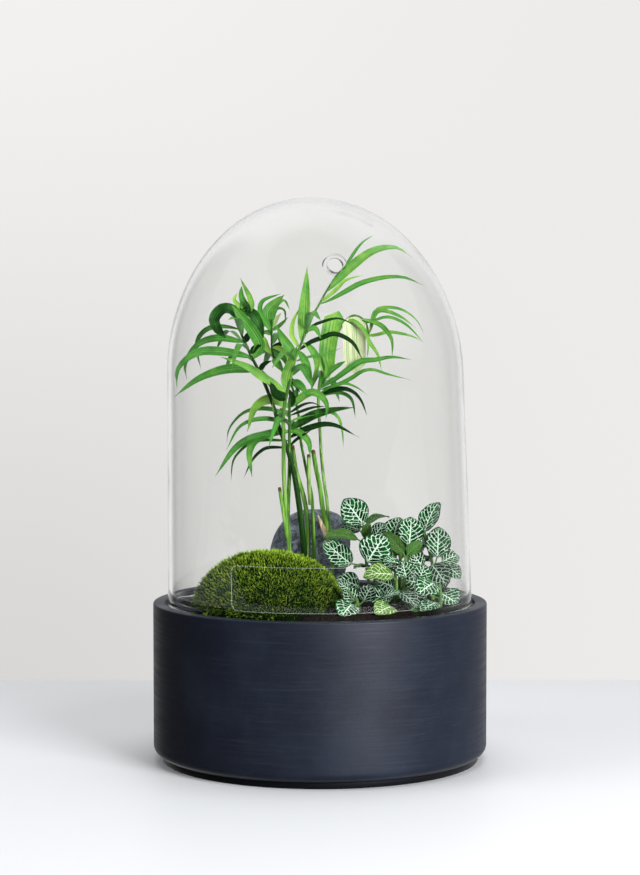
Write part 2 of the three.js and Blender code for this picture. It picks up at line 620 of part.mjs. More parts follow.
// ---------------------------------------------------------------- nerve plant
// Each leafy stem: its line above the soil and its leaves, each from a height on the stem to the
// blade's root and tip, with its width, tilt and yaw.
const NERVE_STEMS = {
  nerve_1: { line: [[40, -8], [38, -9, 140], [31, -11, 169]], leaves: [
    [166, [31, -12, 170], [17, -8, 188], 19, 75, 0],
    [165, [33, -9, 170], [50, 2, 175], 13, 10, 0],
    [160, [29, -4, 165], [14, 4, 168], 14, 50, 0],
  ] },
  nerve_2: { line: [[36, -32], [33, -34, 140], [32, -27, 160]], leaves: [
    [143, [22, -38, 144], [2, -42, 162], 15, 75, -20],
    [158, [27, -25, 161], [3, -30, 163], 14, 30, 0],
    [138, [33, -41, 146], [46, -38, 165], 22, 70, 0],
    [157, [38, -25, 162], [46, -21, 172], 10, 60, 0],
    [125, [28, -36, 128], [11, -37, 134], 14, 55, 0],
  ] },
  nerve_3: { line: [[56, -16], [57, -18, 140], [57, -19, 157]], leaves: [
    [154, [52, -15, 159], [57, -9, 175], 16, 70, -10],
    [149, [63, -23, 156], [65, -16, 176], 18, 70, 10],
    [138, [52, -24, 142], [38, -23, 150], 15, 60, 0],
    [127, [51, -17, 130], [37, -21, 138], 15, 60, 0],
  ] },
  nerve_4: { line: [[58, -38], [59, -40, 135], [60, -43, 150]], leaves: [
    [148, [58, -41, 153], [46, -31, 165], 12, 60, -30],
    [147, [62, -43, 153], [71, -41, 160], 10, 60, 30],
    [127, [60, -50, 136], [57, -48, 148], 13, 60, 0],
    [126, [69, -47, 133], [73, -44, 145], 13, 70, 0],
    [141, [57, -47, 145], [43, -52, 148], 13, 20, 0],
    [124, [52, -41, 128], [38, -46, 134], 15, 60, 0],
  ] },
  nerve_5: { line: [[78, -2], [81, -4, 138], [75, -4, 161]], leaves: [
    [158, [75, -4, 164], [86, 4, 185], 15, 60, -30],
    [136, [84, -11, 146], [85, -5, 168], 17, 75, 0],
    [138, [88, 0, 142], [101, 6, 146], 13, 50, 0],
    [133, [93, 3, 138], [102, 1, 130], 10, 60, 0],
    [126, [73, -8, 130], [61, -6, 140], 16, 65, 0],
  ] },
  nerve_6: { line: [[80, -24], [80, -23, 130], [78, -22, 141]], leaves: [
    [139, [81, -26, 142], [88, -32, 129], 17, 70, 10],
    [137, [72, -32, 142], [64, -30, 152], 11, 60, 0],
    [121, [88, -21, 121], [98, -26, 113], 16, 50, 0],
    [126, [71, -25, 129], [58, -28, 132], 14, 60, 0],
  ] },
  nerve_7: { line: [[84, -46], [84, -46, 122], [83, -47, 131]], leaves: [
    [128, [79, -53, 133], [67, -66, 126], 17, 60, 0],
    [117, [81, -50, 118], [69, -70, 113], 13, 50, 0],
    [121, [75, -46, 124], [65, -50, 128], 12, 60, 0],
  ] },
  nerve_8: { line: [[52, -56], [53, -56, 126], [53, -56, 136]], leaves: [
    [133, [51, -57, 139], [30, -64, 139], 16, 40, 0],
    [126, [54, -64, 128], [67, -77, 118], 16, 40, 30],
    [122, [44, -58, 123], [29, -60, 125], 13, 50, 0],
  ] },
  nerve_9: { line: [[26, -68], [26, -69, 120], [25, -70, 124]], leaves: [
    [120, [22, -77, 121], [14, -93, 113], 17, 65, 0],
    [122, [20, -69, 130], [12, -72, 136], 7, 60, 0],
  ] },
  nerve_10: { line: [[46, -70], [46, -71, 117], [46, -72, 120]], leaves: [
    [117, [49, -77, 119], [38, -92, 115], 16, 45, 0],
    [119, [43, -73, 125], [55, -78, 130], 7, 50, 0],
  ] },
};
// Stems behind, fused where their leaves cross: [x, y, top, turn, pairs of leaves].
const BACK_STEMS = [
  [45, 27, 152, 25, 3], [64, 21, 154, 80, 2], [72, 33, 146, 20, 2], [56, 42, 149, 60, 2],
  [60, 52, 138, 100, 2],
];
// Drop from the tip of the stem, length, width, rise in radians.
const PAIRS = [[0, 19, 16, 0.7], [-11, 20, 17, 0.4], [-22, 18, 15, 0.2]];

function grounded(line) {
  const [x, y] = line[0];
  const ground = soilHeight(x, y);
  return [[x, y, ground - 0.6 * ROOT_DEPTH], [x, y, ground + 1.5], ...line.slice(1)];
}

function nerveStem(stem, seed) {
  const line = grounded(stem.line);
  const solids = [stalk(line, [1.5, 1.4, 1.2])];
  stem.leaves.forEach(([height, root, tip, width, tilt, yaw], i) => {
    const joint = atHeight(line, height);
    solids.push(nerveLeaf(joint, root, tip, width, facing(tilt, yaw), seed + i, !stem.plain));
  });
  return join(solids);
}

// A stem whose leaves stand in pairs, each pair across the one below it.
function pairedStem([x, y, top, turn, pairs]) {
  const leaves = PAIRS.slice(0, pairs).flatMap(([drop, length, width, rise], level) =>
    [0, 180].map((half) => {
      const a = degrees(turn + 90 * level + half);
      const height = top + drop;
      const reach = (r, z) => [x + r * Math.cos(a), y + r * Math.sin(a), height + z];
      const root = reach(5, 2.5);
      const tip = reach(5 + length * Math.cos(rise), 2.5 + length * Math.sin(rise));
      return [height - 1, root, tip, width, -0.6 * THREE.MathUtils.radToDeg(rise),
        turn + 90 * level + half + 90];
    }));
  return { line: [[x, y], [x, y, 0.5 * (top + 120)], [x, y, top]], leaves, plain: true };
}

// ---------------------------------------------------------------- assembly
const terrarium = new THREE.Group();

const palms = Object.entries(PALMS).map(([name, plant]) => [name, palm(plant), plant.stalks[0]]);
const fronts = Object.entries(NERVE_STEMS);
const backs = BACK_STEMS.map(pairedStem);
const stems = [...fronts.map(([, stem]) => stem), ...backs];

const holes = [
  ...palms.map(([, , stem]) => [stem.line[0], stem.radii[0], ROOT_DEPTH, 6]),
  ...stems.map((stem) => [stem.line[0], 1.5, 0.6 * ROOT_DEPTH, 4]),
].map(([[x, y], radius, depth, sides]) => {
  const ground = soilHeight(x, y);
  const at = new THREE.Vector3(x, y, ground - depth - SEAT_GAP + 20);
  const reach = (radius + 1.1 * SEAT_GAP) / Math.cos(Math.PI / sides);
  return rod(reach, 40, at, new THREE.Vector3(0, 0, 1), sides);
});
const bed = soilBody();
const soil = join(holes).add(stone(SEAT_GAP));

terrarium.add(
  piece("bowl", bowl(), finish.bowl),
  piece("drainage_gravel", gravel(), finish.gravel),
  piece("soil", bed.subtract(soil), finish.soil),
  piece("glass_dome", dome(), finish.glass),
  piece("label_film", labelFilm(), finish.film),
  piece("river_stone", stone(), finish.stone),
  piece("moss_cushion", moss(bed), finish.moss),
);
for (const [name, shape] of palms) terrarium.add(piece(name, shape, finish.palm));
fronts.forEach(([name, stem], i) => {
  terrarium.add(piece(name, nerveStem(stem, i), finish.nerve));
});
terrarium.add(piece("nerve_back", join(backs.map(nerveStem)), finish.nerve));

export default terrarium;
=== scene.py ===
"""A planted glass dome on a turned bowl: moss cushion, river stone, palm seedlings, nerve plant."""
import json
import math

import bpy
import numpy as np
from mathutils import Matrix, Vector, noise

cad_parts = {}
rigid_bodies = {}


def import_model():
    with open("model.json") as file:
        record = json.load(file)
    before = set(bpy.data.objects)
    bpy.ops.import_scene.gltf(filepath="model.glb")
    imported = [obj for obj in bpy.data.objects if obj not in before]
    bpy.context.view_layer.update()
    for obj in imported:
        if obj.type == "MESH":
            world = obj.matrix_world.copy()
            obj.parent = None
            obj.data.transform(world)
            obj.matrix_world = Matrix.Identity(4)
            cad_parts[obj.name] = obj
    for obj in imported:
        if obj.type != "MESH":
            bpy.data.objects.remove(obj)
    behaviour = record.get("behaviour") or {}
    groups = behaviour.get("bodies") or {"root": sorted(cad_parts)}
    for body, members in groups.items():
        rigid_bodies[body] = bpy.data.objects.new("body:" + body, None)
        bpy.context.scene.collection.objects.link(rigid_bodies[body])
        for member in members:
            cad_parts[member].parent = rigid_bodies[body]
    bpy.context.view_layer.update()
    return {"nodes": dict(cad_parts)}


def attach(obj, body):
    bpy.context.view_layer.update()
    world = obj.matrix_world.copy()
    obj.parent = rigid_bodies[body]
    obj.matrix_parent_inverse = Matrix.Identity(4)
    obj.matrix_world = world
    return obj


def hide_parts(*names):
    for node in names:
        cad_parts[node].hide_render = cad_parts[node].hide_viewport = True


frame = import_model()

bl_info = {
    "name": "Planted glass dome",
    "version": (1, 0, 0),
    "blender": (4, 5, 0),
    "location": "3D View > Sidebar > Planted dome",
    "description": "Builds a closed terrarium: turned bowl, blown glass dome and its planting",
    "category": "Add Mesh",
}

MM = 0.001

# ---------------------------------------------------------------- driving dimensions, mm
SEAT_GAP = 0.3
LEDGE = 110.5
SOIL = {"edge": 108.5, "heap": 9, "slope": 18, "wall": 102.7, "base": 34.3}
DOME = {"base": 109.4, "shoulder": 106.2, "shoulder_height": 275, "top": 403.5, "wall": 2.8,
        "crown": 3.1, "bead": 1.6, "bead_height": 7, "lean": -0.0195}
VENT = {"turn": 11.7, "height": 357, "rise": 12, "hole": 5.8, "lip": 2.1, "lip_height": 3}
LABEL = {"from": -33, "to": 36.5, "bottom": 118.5, "height": 31, "corner": 5, "thick": 0.5}
STONE = {"at": (-10, 37, 137), "half": (30, 21.5, 40)}
MOSS = {"at": (-37, -53), "half": (54, 42), "height": 43.5, "limit": 102.2}
ROOT_DEPTH = 24
BOWL = {"recess": 1.5, "slope": [(97.6, 1.5), (98.4, 1.2), (99.6, 0.1), (100.2, 0)], "foot": 114,
        "foot_height": 4.2, "belly": 7, "belly_height": 11.5, "lip": 1.4, "mouth": 111.2,
        "cavity": 103, "floor": 14, "fillet": 10, "ease": 0.3}

# ---------------------------------------------------------------- the stage, metres
# The floor ends in front where the glass would start to mirror it.
FLOOR = {"side": 3, "front": -0.72, "back": 0.347, "under": -0.03}
CAMERA = {"lens": 94.63, "sensor": 36.0, "at": (0.0, -1.650, 0.3223), "tilt": 86.85}
# Each softbox: place, aim, size, power as a share of the key's, and the pieces that it leaves out:
# all leave out the glass, so that they don't glare in it, and the fill the bowl too.
SOFTBOXES = {
    "key softbox": ((0.85, -1.25, 0.60), (0.0, 0.0, 0.15), (0.7, 1.1), 1.0, ["blown_dome"]),
    "fill softbox": ((-1.3, -0.5, 0.9), (0.0, 0.0, 0.2), (0.8, 1.2), 0.26,
                     ["blown_dome", "turned_bowl"]),
    "top softbox": ((0.1, 0.1, 1.6), (0.0, 0.0, 0.1), (1.0, 1.0), 0.32, ["blown_dome"]),
}

# ---------------------------------------------------------------- tints that the panel leaves out
TINTS = {
    "clay streak": (0.044, 0.053, 0.078), "clay pore": (0.007, 0.009, 0.015),
    # The clay foot tint is painted shade on the recessed foot.
    "clay foot painted shade": (0.002, 0.002, 0.003), "glass shadow": (0.97, 0.985, 0.98, 1.0),
    "film edge": (0.8, 0.84, 0.81), "film": (0.16, 0.19, 0.17),
    "soil clump": (0.022, 0.015, 0.011), "soil fleck": (0.10, 0.07, 0.045),
    "pebble": (0.30, 0.115, 0.055), "brown pebble": (0.17, 0.085, 0.055),
    # The pebble gap tint is painted shade between the pebbles.
    "pebble dust": (0.42, 0.30, 0.22), "pebble gap painted shade": (0.02, 0.012, 0.009),
    "stone bloom": (0.30, 0.34, 0.42), "stone mottle": (0.016, 0.021, 0.032),
    "stone speckle": (0.42, 0.45, 0.50),
    "moss patch": (0.13, 0.33, 0.018), "moss bright shoot": (0.62, 0.80, 0.09),
    # The moss top tint is painted light on the cushion's top.
    "moss top painted light": (0.66, 0.98, 0.08), "moss dim shoot": (0.03, 0.085, 0.006),
    "moss olive": (0.10, 0.12, 0.01), "moss straw": (0.34, 0.42, 0.04),
    # The moss foot tint is painted shade low on the cushion.
    "moss foot painted shade": (0.03, 0.085, 0.004),
    "palm under, deep": (0.03, 0.14, 0.05), "palm under, pale": (0.27, 0.50, 0.23),
    "palm pale line": (0.58, 0.80, 0.38), "palm dark line": (0.002, 0.022, 0.002),
    "palm keel": (0.34, 0.56, 0.18),
    "stalk foot": (0.16, 0.40, 0.04), "stalk top": (0.035, 0.17, 0.016),
    "pale stalk": (0.36, 0.55, 0.17), "deep stalk": (0.008, 0.045, 0.003),
    # The stalk's dark and pale lines are partly painted shade and painted highlight.
    "stalk dark line and painted shade": (0.010, 0.06, 0.004), "stalk pale line and painted highlight": (0.42, 0.62, 0.22),
    "cut end": (0.10, 0.055, 0.015),
    "sheath": (0.30, 0.19, 0.09), "sheath fibre": (0.62, 0.50, 0.31),
    "nerve panel": (0.006, 0.108, 0.019), "young nerve panel": (0.085, 0.200, 0.016),
    "dark nerve panel": (0.002, 0.020, 0.006), "young nerve vein": (0.70, 0.80, 0.42),
    "nerve stem": (0.16, 0.30, 0.07), "nerve stem patch": (0.10, 0.22, 0.07),
}

# Each seedling's stalks: points of its line, radii along it and its leaflets. A leaflet runs from
# a height on the line, or a point of it, through its bends to a tip, with width, tilt of its upper
# face, shade (-1 deep green, 0 mid green, 1 fresh yellow green, 2 cream; partly the leaflet's own
# tone, partly painted shade, low on leaflets that lie in the clump's shadow) and, where it isn't a
# lance, how far it is a blunt strap instead.
PALMS = {
    "palm_1": [
        ([(-22, -6, 150), (-24, -6, 173), (-25, -6, 188), (-26, -6, 209), (-26, -6, 227),
          (-26, -7, 250), (-24, -7, 262), (-21, -7, 274), (-18, -6, 287), (-15, -5, 295),
          (-9, -4, 310), (-5, -3, 319), (0, -1, 328), (5, 0, 337), (13, 1, 349), (19, 1, 354)],
         (2.2, 2, 1.8, 1.7, 1.6, 1.4, 1.2, 1, 0.9, 0.8, 0.6), [
            (300, [(-11, -5, 326), (-9, -6, 354)], 8.8, 82, 0.5),
            (336, [(21, 1, 353), (40, 3, 366), (56, 6, 368), (67, 8, 361)], 7.6, 66, 0.45),
            (352, [(30, 4, 371), (39, 5, 377)], 2.4, 60, 0),
            (327, [(7, -2, 330), (18, -4, 336), (29, -5, 342), (45, -7, 346), (60, -9, 346),
                   (74, -12, 340)], 4.2, 60, 0.2),
            (328, [(12, 0, 338), (18, 2, 344), (31, 4, 348)], 3.2, 62, 0.9),
            (304, [(-6, -3, 311), (3, -2, 315), (13, -1, 317), (21, 0, 314), (30, 0, 308)],
             2.6, 60, -0.9),
            (294, [(-7, -5, 300), (1, -6, 303), (10, -6, 306), (23, -7, 300), (30, -8, 288)],
             4, 62, -1, 0.3),
            (296, [(-20, -5, 305), (-19, -4, 315), (-14, -4, 325)], 3.8, 70, 0.95),
            (290, [(-24, -8, 299), (-28, -10, 306), (-31, -12, 312)], 7.2, 70, 0.3),
            (265, [(-24, -8, 274), (-21, -9, 284), (-16, -10, 298)], 8.4, 76, 0.55, 0.2),
            (294, [(-14, -6, 292), (-11, -8, 287), (-5, -12, 267)], 6.2, 64, 0.2),
            (300, [(-8, -5, 297), (-3, -6, 290), (-2, -8, 284), (-5, -10, 270)], 5.6, 62, 0.5),
            (308, [(-4, -5, 310), (1, -8, 302)], 4.2, 64, 0.4),
            (286, [(-10, -6, 289), (5, -7, 292), (15, -8, 296)], 2.2, 60, 0.3),
            (264, [(-32, -10, 270), (-42, -13, 276), (-50, -16, 282), (-59, -19, 286),
                   (-71, -22, 290)], 6.4, 66, 0.6),
            (275, [(-18, -8, 270), (-14, -10, 264)], 3, 60, -0.9),
            (261, [(-28, -10, 261), (-32, -13, 264), (-35, -16, 272)], 7.4, 66, -0.9, 0.3),
            (270, [(-17, -9, 271), (-12, -12, 267), (-9, -16, 261)], 6.4, 64, -0.2),
            (276, [(-15, -8, 282), (-9, -10, 281), (-6, -11, 273)], 5.4, 62, 0.1),
            (262, [(-34, 4, 269), (-43, 7, 281)], 6.5, 60, -0.4),
            (279, [(-13, -34, 284), (-6, -58, 270)], 7, 35, 0),
            (287, [(-25, -34, 293), (-33, -60, 283)], 6.5, 35, 0.3),
            (309, [(-6, -30, 322), (1, -54, 315)], 6, 35, 0.2),
        ]),
        ([(-22, -5, 158), (-23, -3, 172), (-22, 3, 209), (-22, 5, 227), (-22, 5, 252),
          (-22, 5, 260)], (1.8, 1.5, 1.2, 0.9), [
            (253, [(-34, 3, 259), (-46, -1, 254), (-52, -4, 236)], 8.6, 66, 0.65),
            (248, [(-39, 8, 252), (-55, 13, 249), (-66, 19, 237), (-68, 21, 227)], 3.8, 60, 0),
            (242, [(-41, 2, 245), (-57, -2, 240), (-67, -6, 223)], 4, 60, 0.1),
            (235, [(-31, 3, 235), (-42, 1, 233), (-52, -2, 230), (-61, -5, 224), (-75, -10, 204)],
             6.2, 60, -0.15),
            (236, [(-32, 4, 235), (-42, 5, 232), (-48, 5, 228), (-51, 6, 220), (-49, 6, 202)],
             7, 64, 0.3),
            (229, [(-42, 10, 229), (-50, 13, 227), (-57, 15, 222), (-63, 17, 214), (-65, 20, 198)],
             2.8, 60, -0.4),
            (224, [(-39, 16, 223), (-45, 20, 219), (-50, 24, 213), (-56, 30, 200)], 2.8, 60, -0.7),
            (253, [(-16, 4, 258), (-11, 3, 262), (-5, 1, 264), (1, 0, 261), (5, -2, 255),
                   (4, -3, 244)], 6.4, 64, 0.35),
            (247, [(-14, 4, 250), (-5, 3, 253), (5, 2, 254)], 2.4, 60, -0.8),
            (237, [(-14, 4, 242), (-6, 3, 247), (3, 2, 250), (14, 1, 252), (25, 0, 253)],
             7.4, 64, -0.6),
            (243, [(-7, 4, 248), (6, 5, 250), (13, 5, 246), (16, 6, 236), (17, 6, 223)],
             3.2, 60, 0.4),
            (235, [(-17, 3, 236), (-12, 0, 233), (-8, -3, 228), (-7, -6, 219)], 5.4, 62, 0.25, 0.2),
            (231, [(-14, 3, 236), (-6, 1, 239), (3, 0, 241), (12, -2, 240), (28, -4, 232)],
             5.4, 62, -0.95),
            (225, [(-17, 2, 230), (-6, -2, 237)], 2.6, 60, -1),
            (249, [(-12, 6, 255), (-5, 8, 256), (1, 10, 253)], 2.6, 60, -1),
            (253, [(-20, 4, 260), (-23, 2, 267)], 5.6, 70, -0.9),
            (254, [(-18, 6, 261), (-16, 8, 268)], 5.6, 70, -0.6),
            (246, [(-27, 34, 250), (-34, 58, 231)], 6, -35, 0),
            (240, [(-21, 36, 241), (-12, 56, 221)], 6, -35, -0.2),
            (241, [(-29, -30, 246), (-36, -52, 227)], 6, 35, 0.1),
        ]),
        ([(-24, -6, 160), (-25, -7, 169), (-29, -8, 196)], (1.4, 1.3), []),
    ],
    "palm_2": [
        ([(-11, -2, 144), (-13, -2, 167), (-16, -2, 190), (-19, -2, 207), (-23, -2, 222),
          (-29, -2, 238), (-33, -3, 253), (-39, -4, 269), (-44, -5, 280), (-49, -7, 290),
          (-54, -8, 301), (-57, -9, 309), (-58, -10, 317), (-56, -10, 324)],
         (2.2, 2.2, 2.4, 2.3, 1.9, 1.6, 1.3, 1.1, 0.9, 0.7), [
            (280, [(-64, -6, 281), (-85, -8, 275), (-104, -9, 261)], 8.2, 60, 0.05),
            (289, [(-66, -9, 293), (-86, -13, 293), (-100, -17, 282), (-101, -20, 268)], 7.6, 60, 0),
            (300, [(-73, -5, 303), (-88, -2, 298), (-97, 1, 284), (-96, 3, 273)], 6.2, 60, 0),
            (309, [(-66, -6, 311), (-76, -3, 311), (-83, 1, 308), (-88, 5, 302), (-89, 9, 294),
                   (-86, 14, 279)], 4.2, 60, -0.2),
            (316, [(-62, -11, 323), (-69, -12, 324), (-75, -13, 317), (-73, -15, 310),
                   (-67, -16, 303)], 9, 62, -0.55, 0.5),
            (288, [(-43, -10, 297), (-46, -15, 305), (-52, -18, 314), (-62, -20, 326)],
             8.2, 78, 0.3, 0.6),
            (319, [(-49, -10, 325), (-50, -10, 332), (-53, -9, 338), (-57, -9, 346)], 4.6, 72, 0.6),
            (318, [(-54, -9, 326), (-56, -9, 333), (-56, -8, 340)], 5.4, 72, 0.15, 0.3),
            (319, [(-57, -9, 325), (-61, -8, 330), (-59, -6, 335)], 3.6, 70, 0.9, 0.3),
            (323, [(-49, -11, 321), (-44, -12, 314), (-40, -13, 303)], 8, 66, -0.6, 0.2),
            (316, [(-51, -11, 322), (-52, -12, 328), (-55, -14, 332)], 4, 66, -0.7),
            (300, [(-51, -11, 305), (-48, -14, 308)], 5, 62, -0.8),
            (292, [(-46, -10, 296), (-41, -14, 298)], 5.4, 60, -0.8),
            (280, [(-40, -9, 284), (-34, -14, 287)], 5, 60, -0.9),
            (298, [(-67, 22, 308), (-78, 46, 292)], 6, -30, 0),
            (286, [(-61, 22, 293), (-72, 48, 276)], 6, -30, 0),
            (294, [(-56, -38, 299), (-61, -64, 281)], 6, 35, 0.2),
            (305, [(-58, -32, 317), (-63, -58, 316)], 6, 30, 0.2),
        ]),
    ],
    "palm_3": [
        ([(-9, 6, 143), (-9, 7, 171), (-12, 8, 189), (-17, 9, 206), (-19, 10, 218),
          (-20, 10, 225)], (2, 2, 1.8, 1.6), []),
    ],
    "palm_4": [
        ([(-4, 1, 142), (-5, 2, 172), (-6, 4, 190), (-9, 7, 203), (-12, 9, 218), (-14, 11, 229),
          (-14, 12, 238), (-16, 12, 249), (-20, 12, 267), (-28, 12, 280), (-34, 12, 291),
          (-35, 12, 305), (-35, 13, 316)], (2.1, 2, 1.8, 1.3, 1.1, 1, 1, 0.9, 0.8, 0.7), [
            (312, [(-43, 14, 321), (-42, 17, 329), (-28, 19, 335)], 3.8, 62, 0.05),
            (310, [(-38, 15, 321), (-26, 18, 334)], 8.4, 70, 0.35, 0.2),
            (313, [(-31, 16, 324), (-26, 18, 323), (-25, 21, 313)], 2.6, 60, -0.1),
            (308, [(-29, 14, 312), (-23, 16, 318)], 3.2, 62, 0.3),
            (314, [(-31, 17, 327), (-26, 20, 330), (-22, 24, 323)], 3.8, 62, 0.4),
            (308, [(-40, 10, 315), (-44, 7, 321), (-49, 4, 324)], 4.6, 64, 0.35),
            (305, [(-39, 14, 307), (-43, 16, 305)], 3.6, 60, 0.3),
            (292, [(-38, 11, 295), (-39, 9, 299), (-40, 6, 304)], 4.4, 70, 1.1, 0.3),
            (295, [(-31, 14, 297), (-25, 16, 301)], 5.6, 62, -0.9),
            (294, [(-31, 11, 292), (-26, 8, 288), (-23, 6, 281)], 5.2, 60, 0.15),
            (296, [(-28, 11, 295), (-24, 9, 291), (-22, 8, 285)], 3.8, 66, 1),
            (294, [(-40, 16, 293), (-44, 22, 290)], 3.6, 60, 0.2),
            (289, [(-31, 7, 285), (-26, 2, 278)], 6.4, 64, 0.45),
            (310, [(-32, 14, 316), (-28, 15, 321)], 4.6, 72, 1.7),
            (305, [(-39, 34, 316), (-44, 60, 307)], 6, -35, 0),
            (298, [(-31, 36, 307), (-29, 60, 296)], 6, -35, 0),
            (286, [(-37, 36, 292), (-43, 62, 277)], 6, -35, 0),
        ]),
        ([(-7, 4, 183), (-8, 3, 199), (-8, 2, 219)], (1.6, 1.5), []),
    ],
    "palm_5": [
        ([(9, 3, 136), (7, 4, 161), (5, 6, 185), (3, 9, 199), (1, 13, 217), (0, 17, 235),
          (-1, 20, 254), (-1, 21, 263), (1, 22, 277), (8, 24, 294), (15, 25, 310), (24, 26, 319),
          (32, 26, 316), (36, 26, 306)],
         (2.9, 2.3, 1.5, 1.3, 1.3, 1.2, 1.2, 1.2, 1.1, 1, 0.8, 0.7), [
            (320, [(41, 25, 323), (58, 22, 324), (70, 19, 316), (75, 17, 307)], 2.8, 60, 0.4),
            (320, [(42, 30, 322), (58, 36, 319), (71, 40, 310)], 3.8, 60, 0.5),
            ((30, 26, 316), [(34, 25, 314), (49, 24, 318), (62, 23, 313), (76, 22, 299)], 2.6, 60, 0.2),
            ((34, 26, 311), [(35, 26, 305), (41, 26, 305), (50, 25, 307), (67, 23, 304),
                             (75, 22, 300)], 3, 60, 0.55),
            ((29, 26, 317), [(37, 23, 315), (44, 19, 312), (49, 15, 307), (52, 12, 301),
                             (52, 8, 288)], 4, 60, 0.35),
            (312, [(22, 24, 316), (29, 21, 312), (34, 19, 305), (35, 17, 296), (34, 15, 287)],
             3.2, 64, 0.55),
            ((34, 26, 311), [(35, 26, 302), (38, 25, 297), (42, 24, 291), (45, 22, 279)],
             3.2, 62, 0.6),
            (266, [(11, 19, 273), (22, 18, 281), (30, 18, 286), (40, 17, 287), (52, 17, 289),
                   (67, 16, 287)], 4.8, 62, 0.05),
            (265, [(13, 16, 269), (23, 14, 274), (31, 12, 279), (38, 10, 280), (48, 8, 277),
                   (65, 4, 273)], 3.6, 60, 0.2),
            (267, [(2, 18, 273), (9, 14, 280), (18, 10, 286)], 4.8, 64, 0.1, 0.5),
            (262, [(9, 15, 268), (18, 12, 270), (27, 9, 267), (34, 6, 262)], 2.8, 60, 0.05),
            (261, [(9, 18, 265), (18, 17, 266), (25, 16, 263), (30, 15, 257), (34, 14, 247)],
             4.6, 60, -0.95),
            (260, [(10, 21, 263), (18, 23, 262), (23, 24, 258), (26, 27, 244)], 3.2, 60, 0),
            (269, [(4, 16, 275), (5, 15, 282), (2, 14, 293)], 3.4, 62, 0.3),
            (313, [(10, 24, 317), (8, 22, 310), (6, 20, 299), (5, 18, 287), (6, 17, 273)],
             13.2, 84, 0.5, 0.75),
            (319, [(24, 25, 315), (25, 24, 307), (25, 22, 294), (26, 20, 277)], 16.4, 84, 2, 1),
            (267, [(8, 46, 272), (15, 70, 254)], 6, -35, 0),
            (312, [(24, 50, 317), (30, 72, 302)], 5, -35, 0.2),
            (273, [(-1, 44, 279), (-7, 68, 263)], 6, -35, 0),
        ]),
        ([(6, 4, 161), (2, 3, 180), (0, 3, 195), (-3, 3, 210), (-5, 3, 222)],
         (2, 1.8, 1.7), []),
    ],
}
# How pale a stalk is: -1 deep green, 0 mid green, 1 pale green.
STALK_TONES = {("palm_1", 0): 0.35, ("palm_1", 1): -0.45, ("palm_1", 2): 0.1, ("palm_2", 0): -0.95,
               ("palm_3", 0): 0.3, ("palm_4", 0): -0.3, ("palm_4", 1): 0.9, ("palm_5", 0): 0.45,
               ("palm_5", 1): 0.05}
# The dry leaf base on the last seedling: root, crest, tip, width, tilt.
SHEATH = ((7, 3.6, 156), (3, -1, 165), (-2, -1, 177), 4, 70)

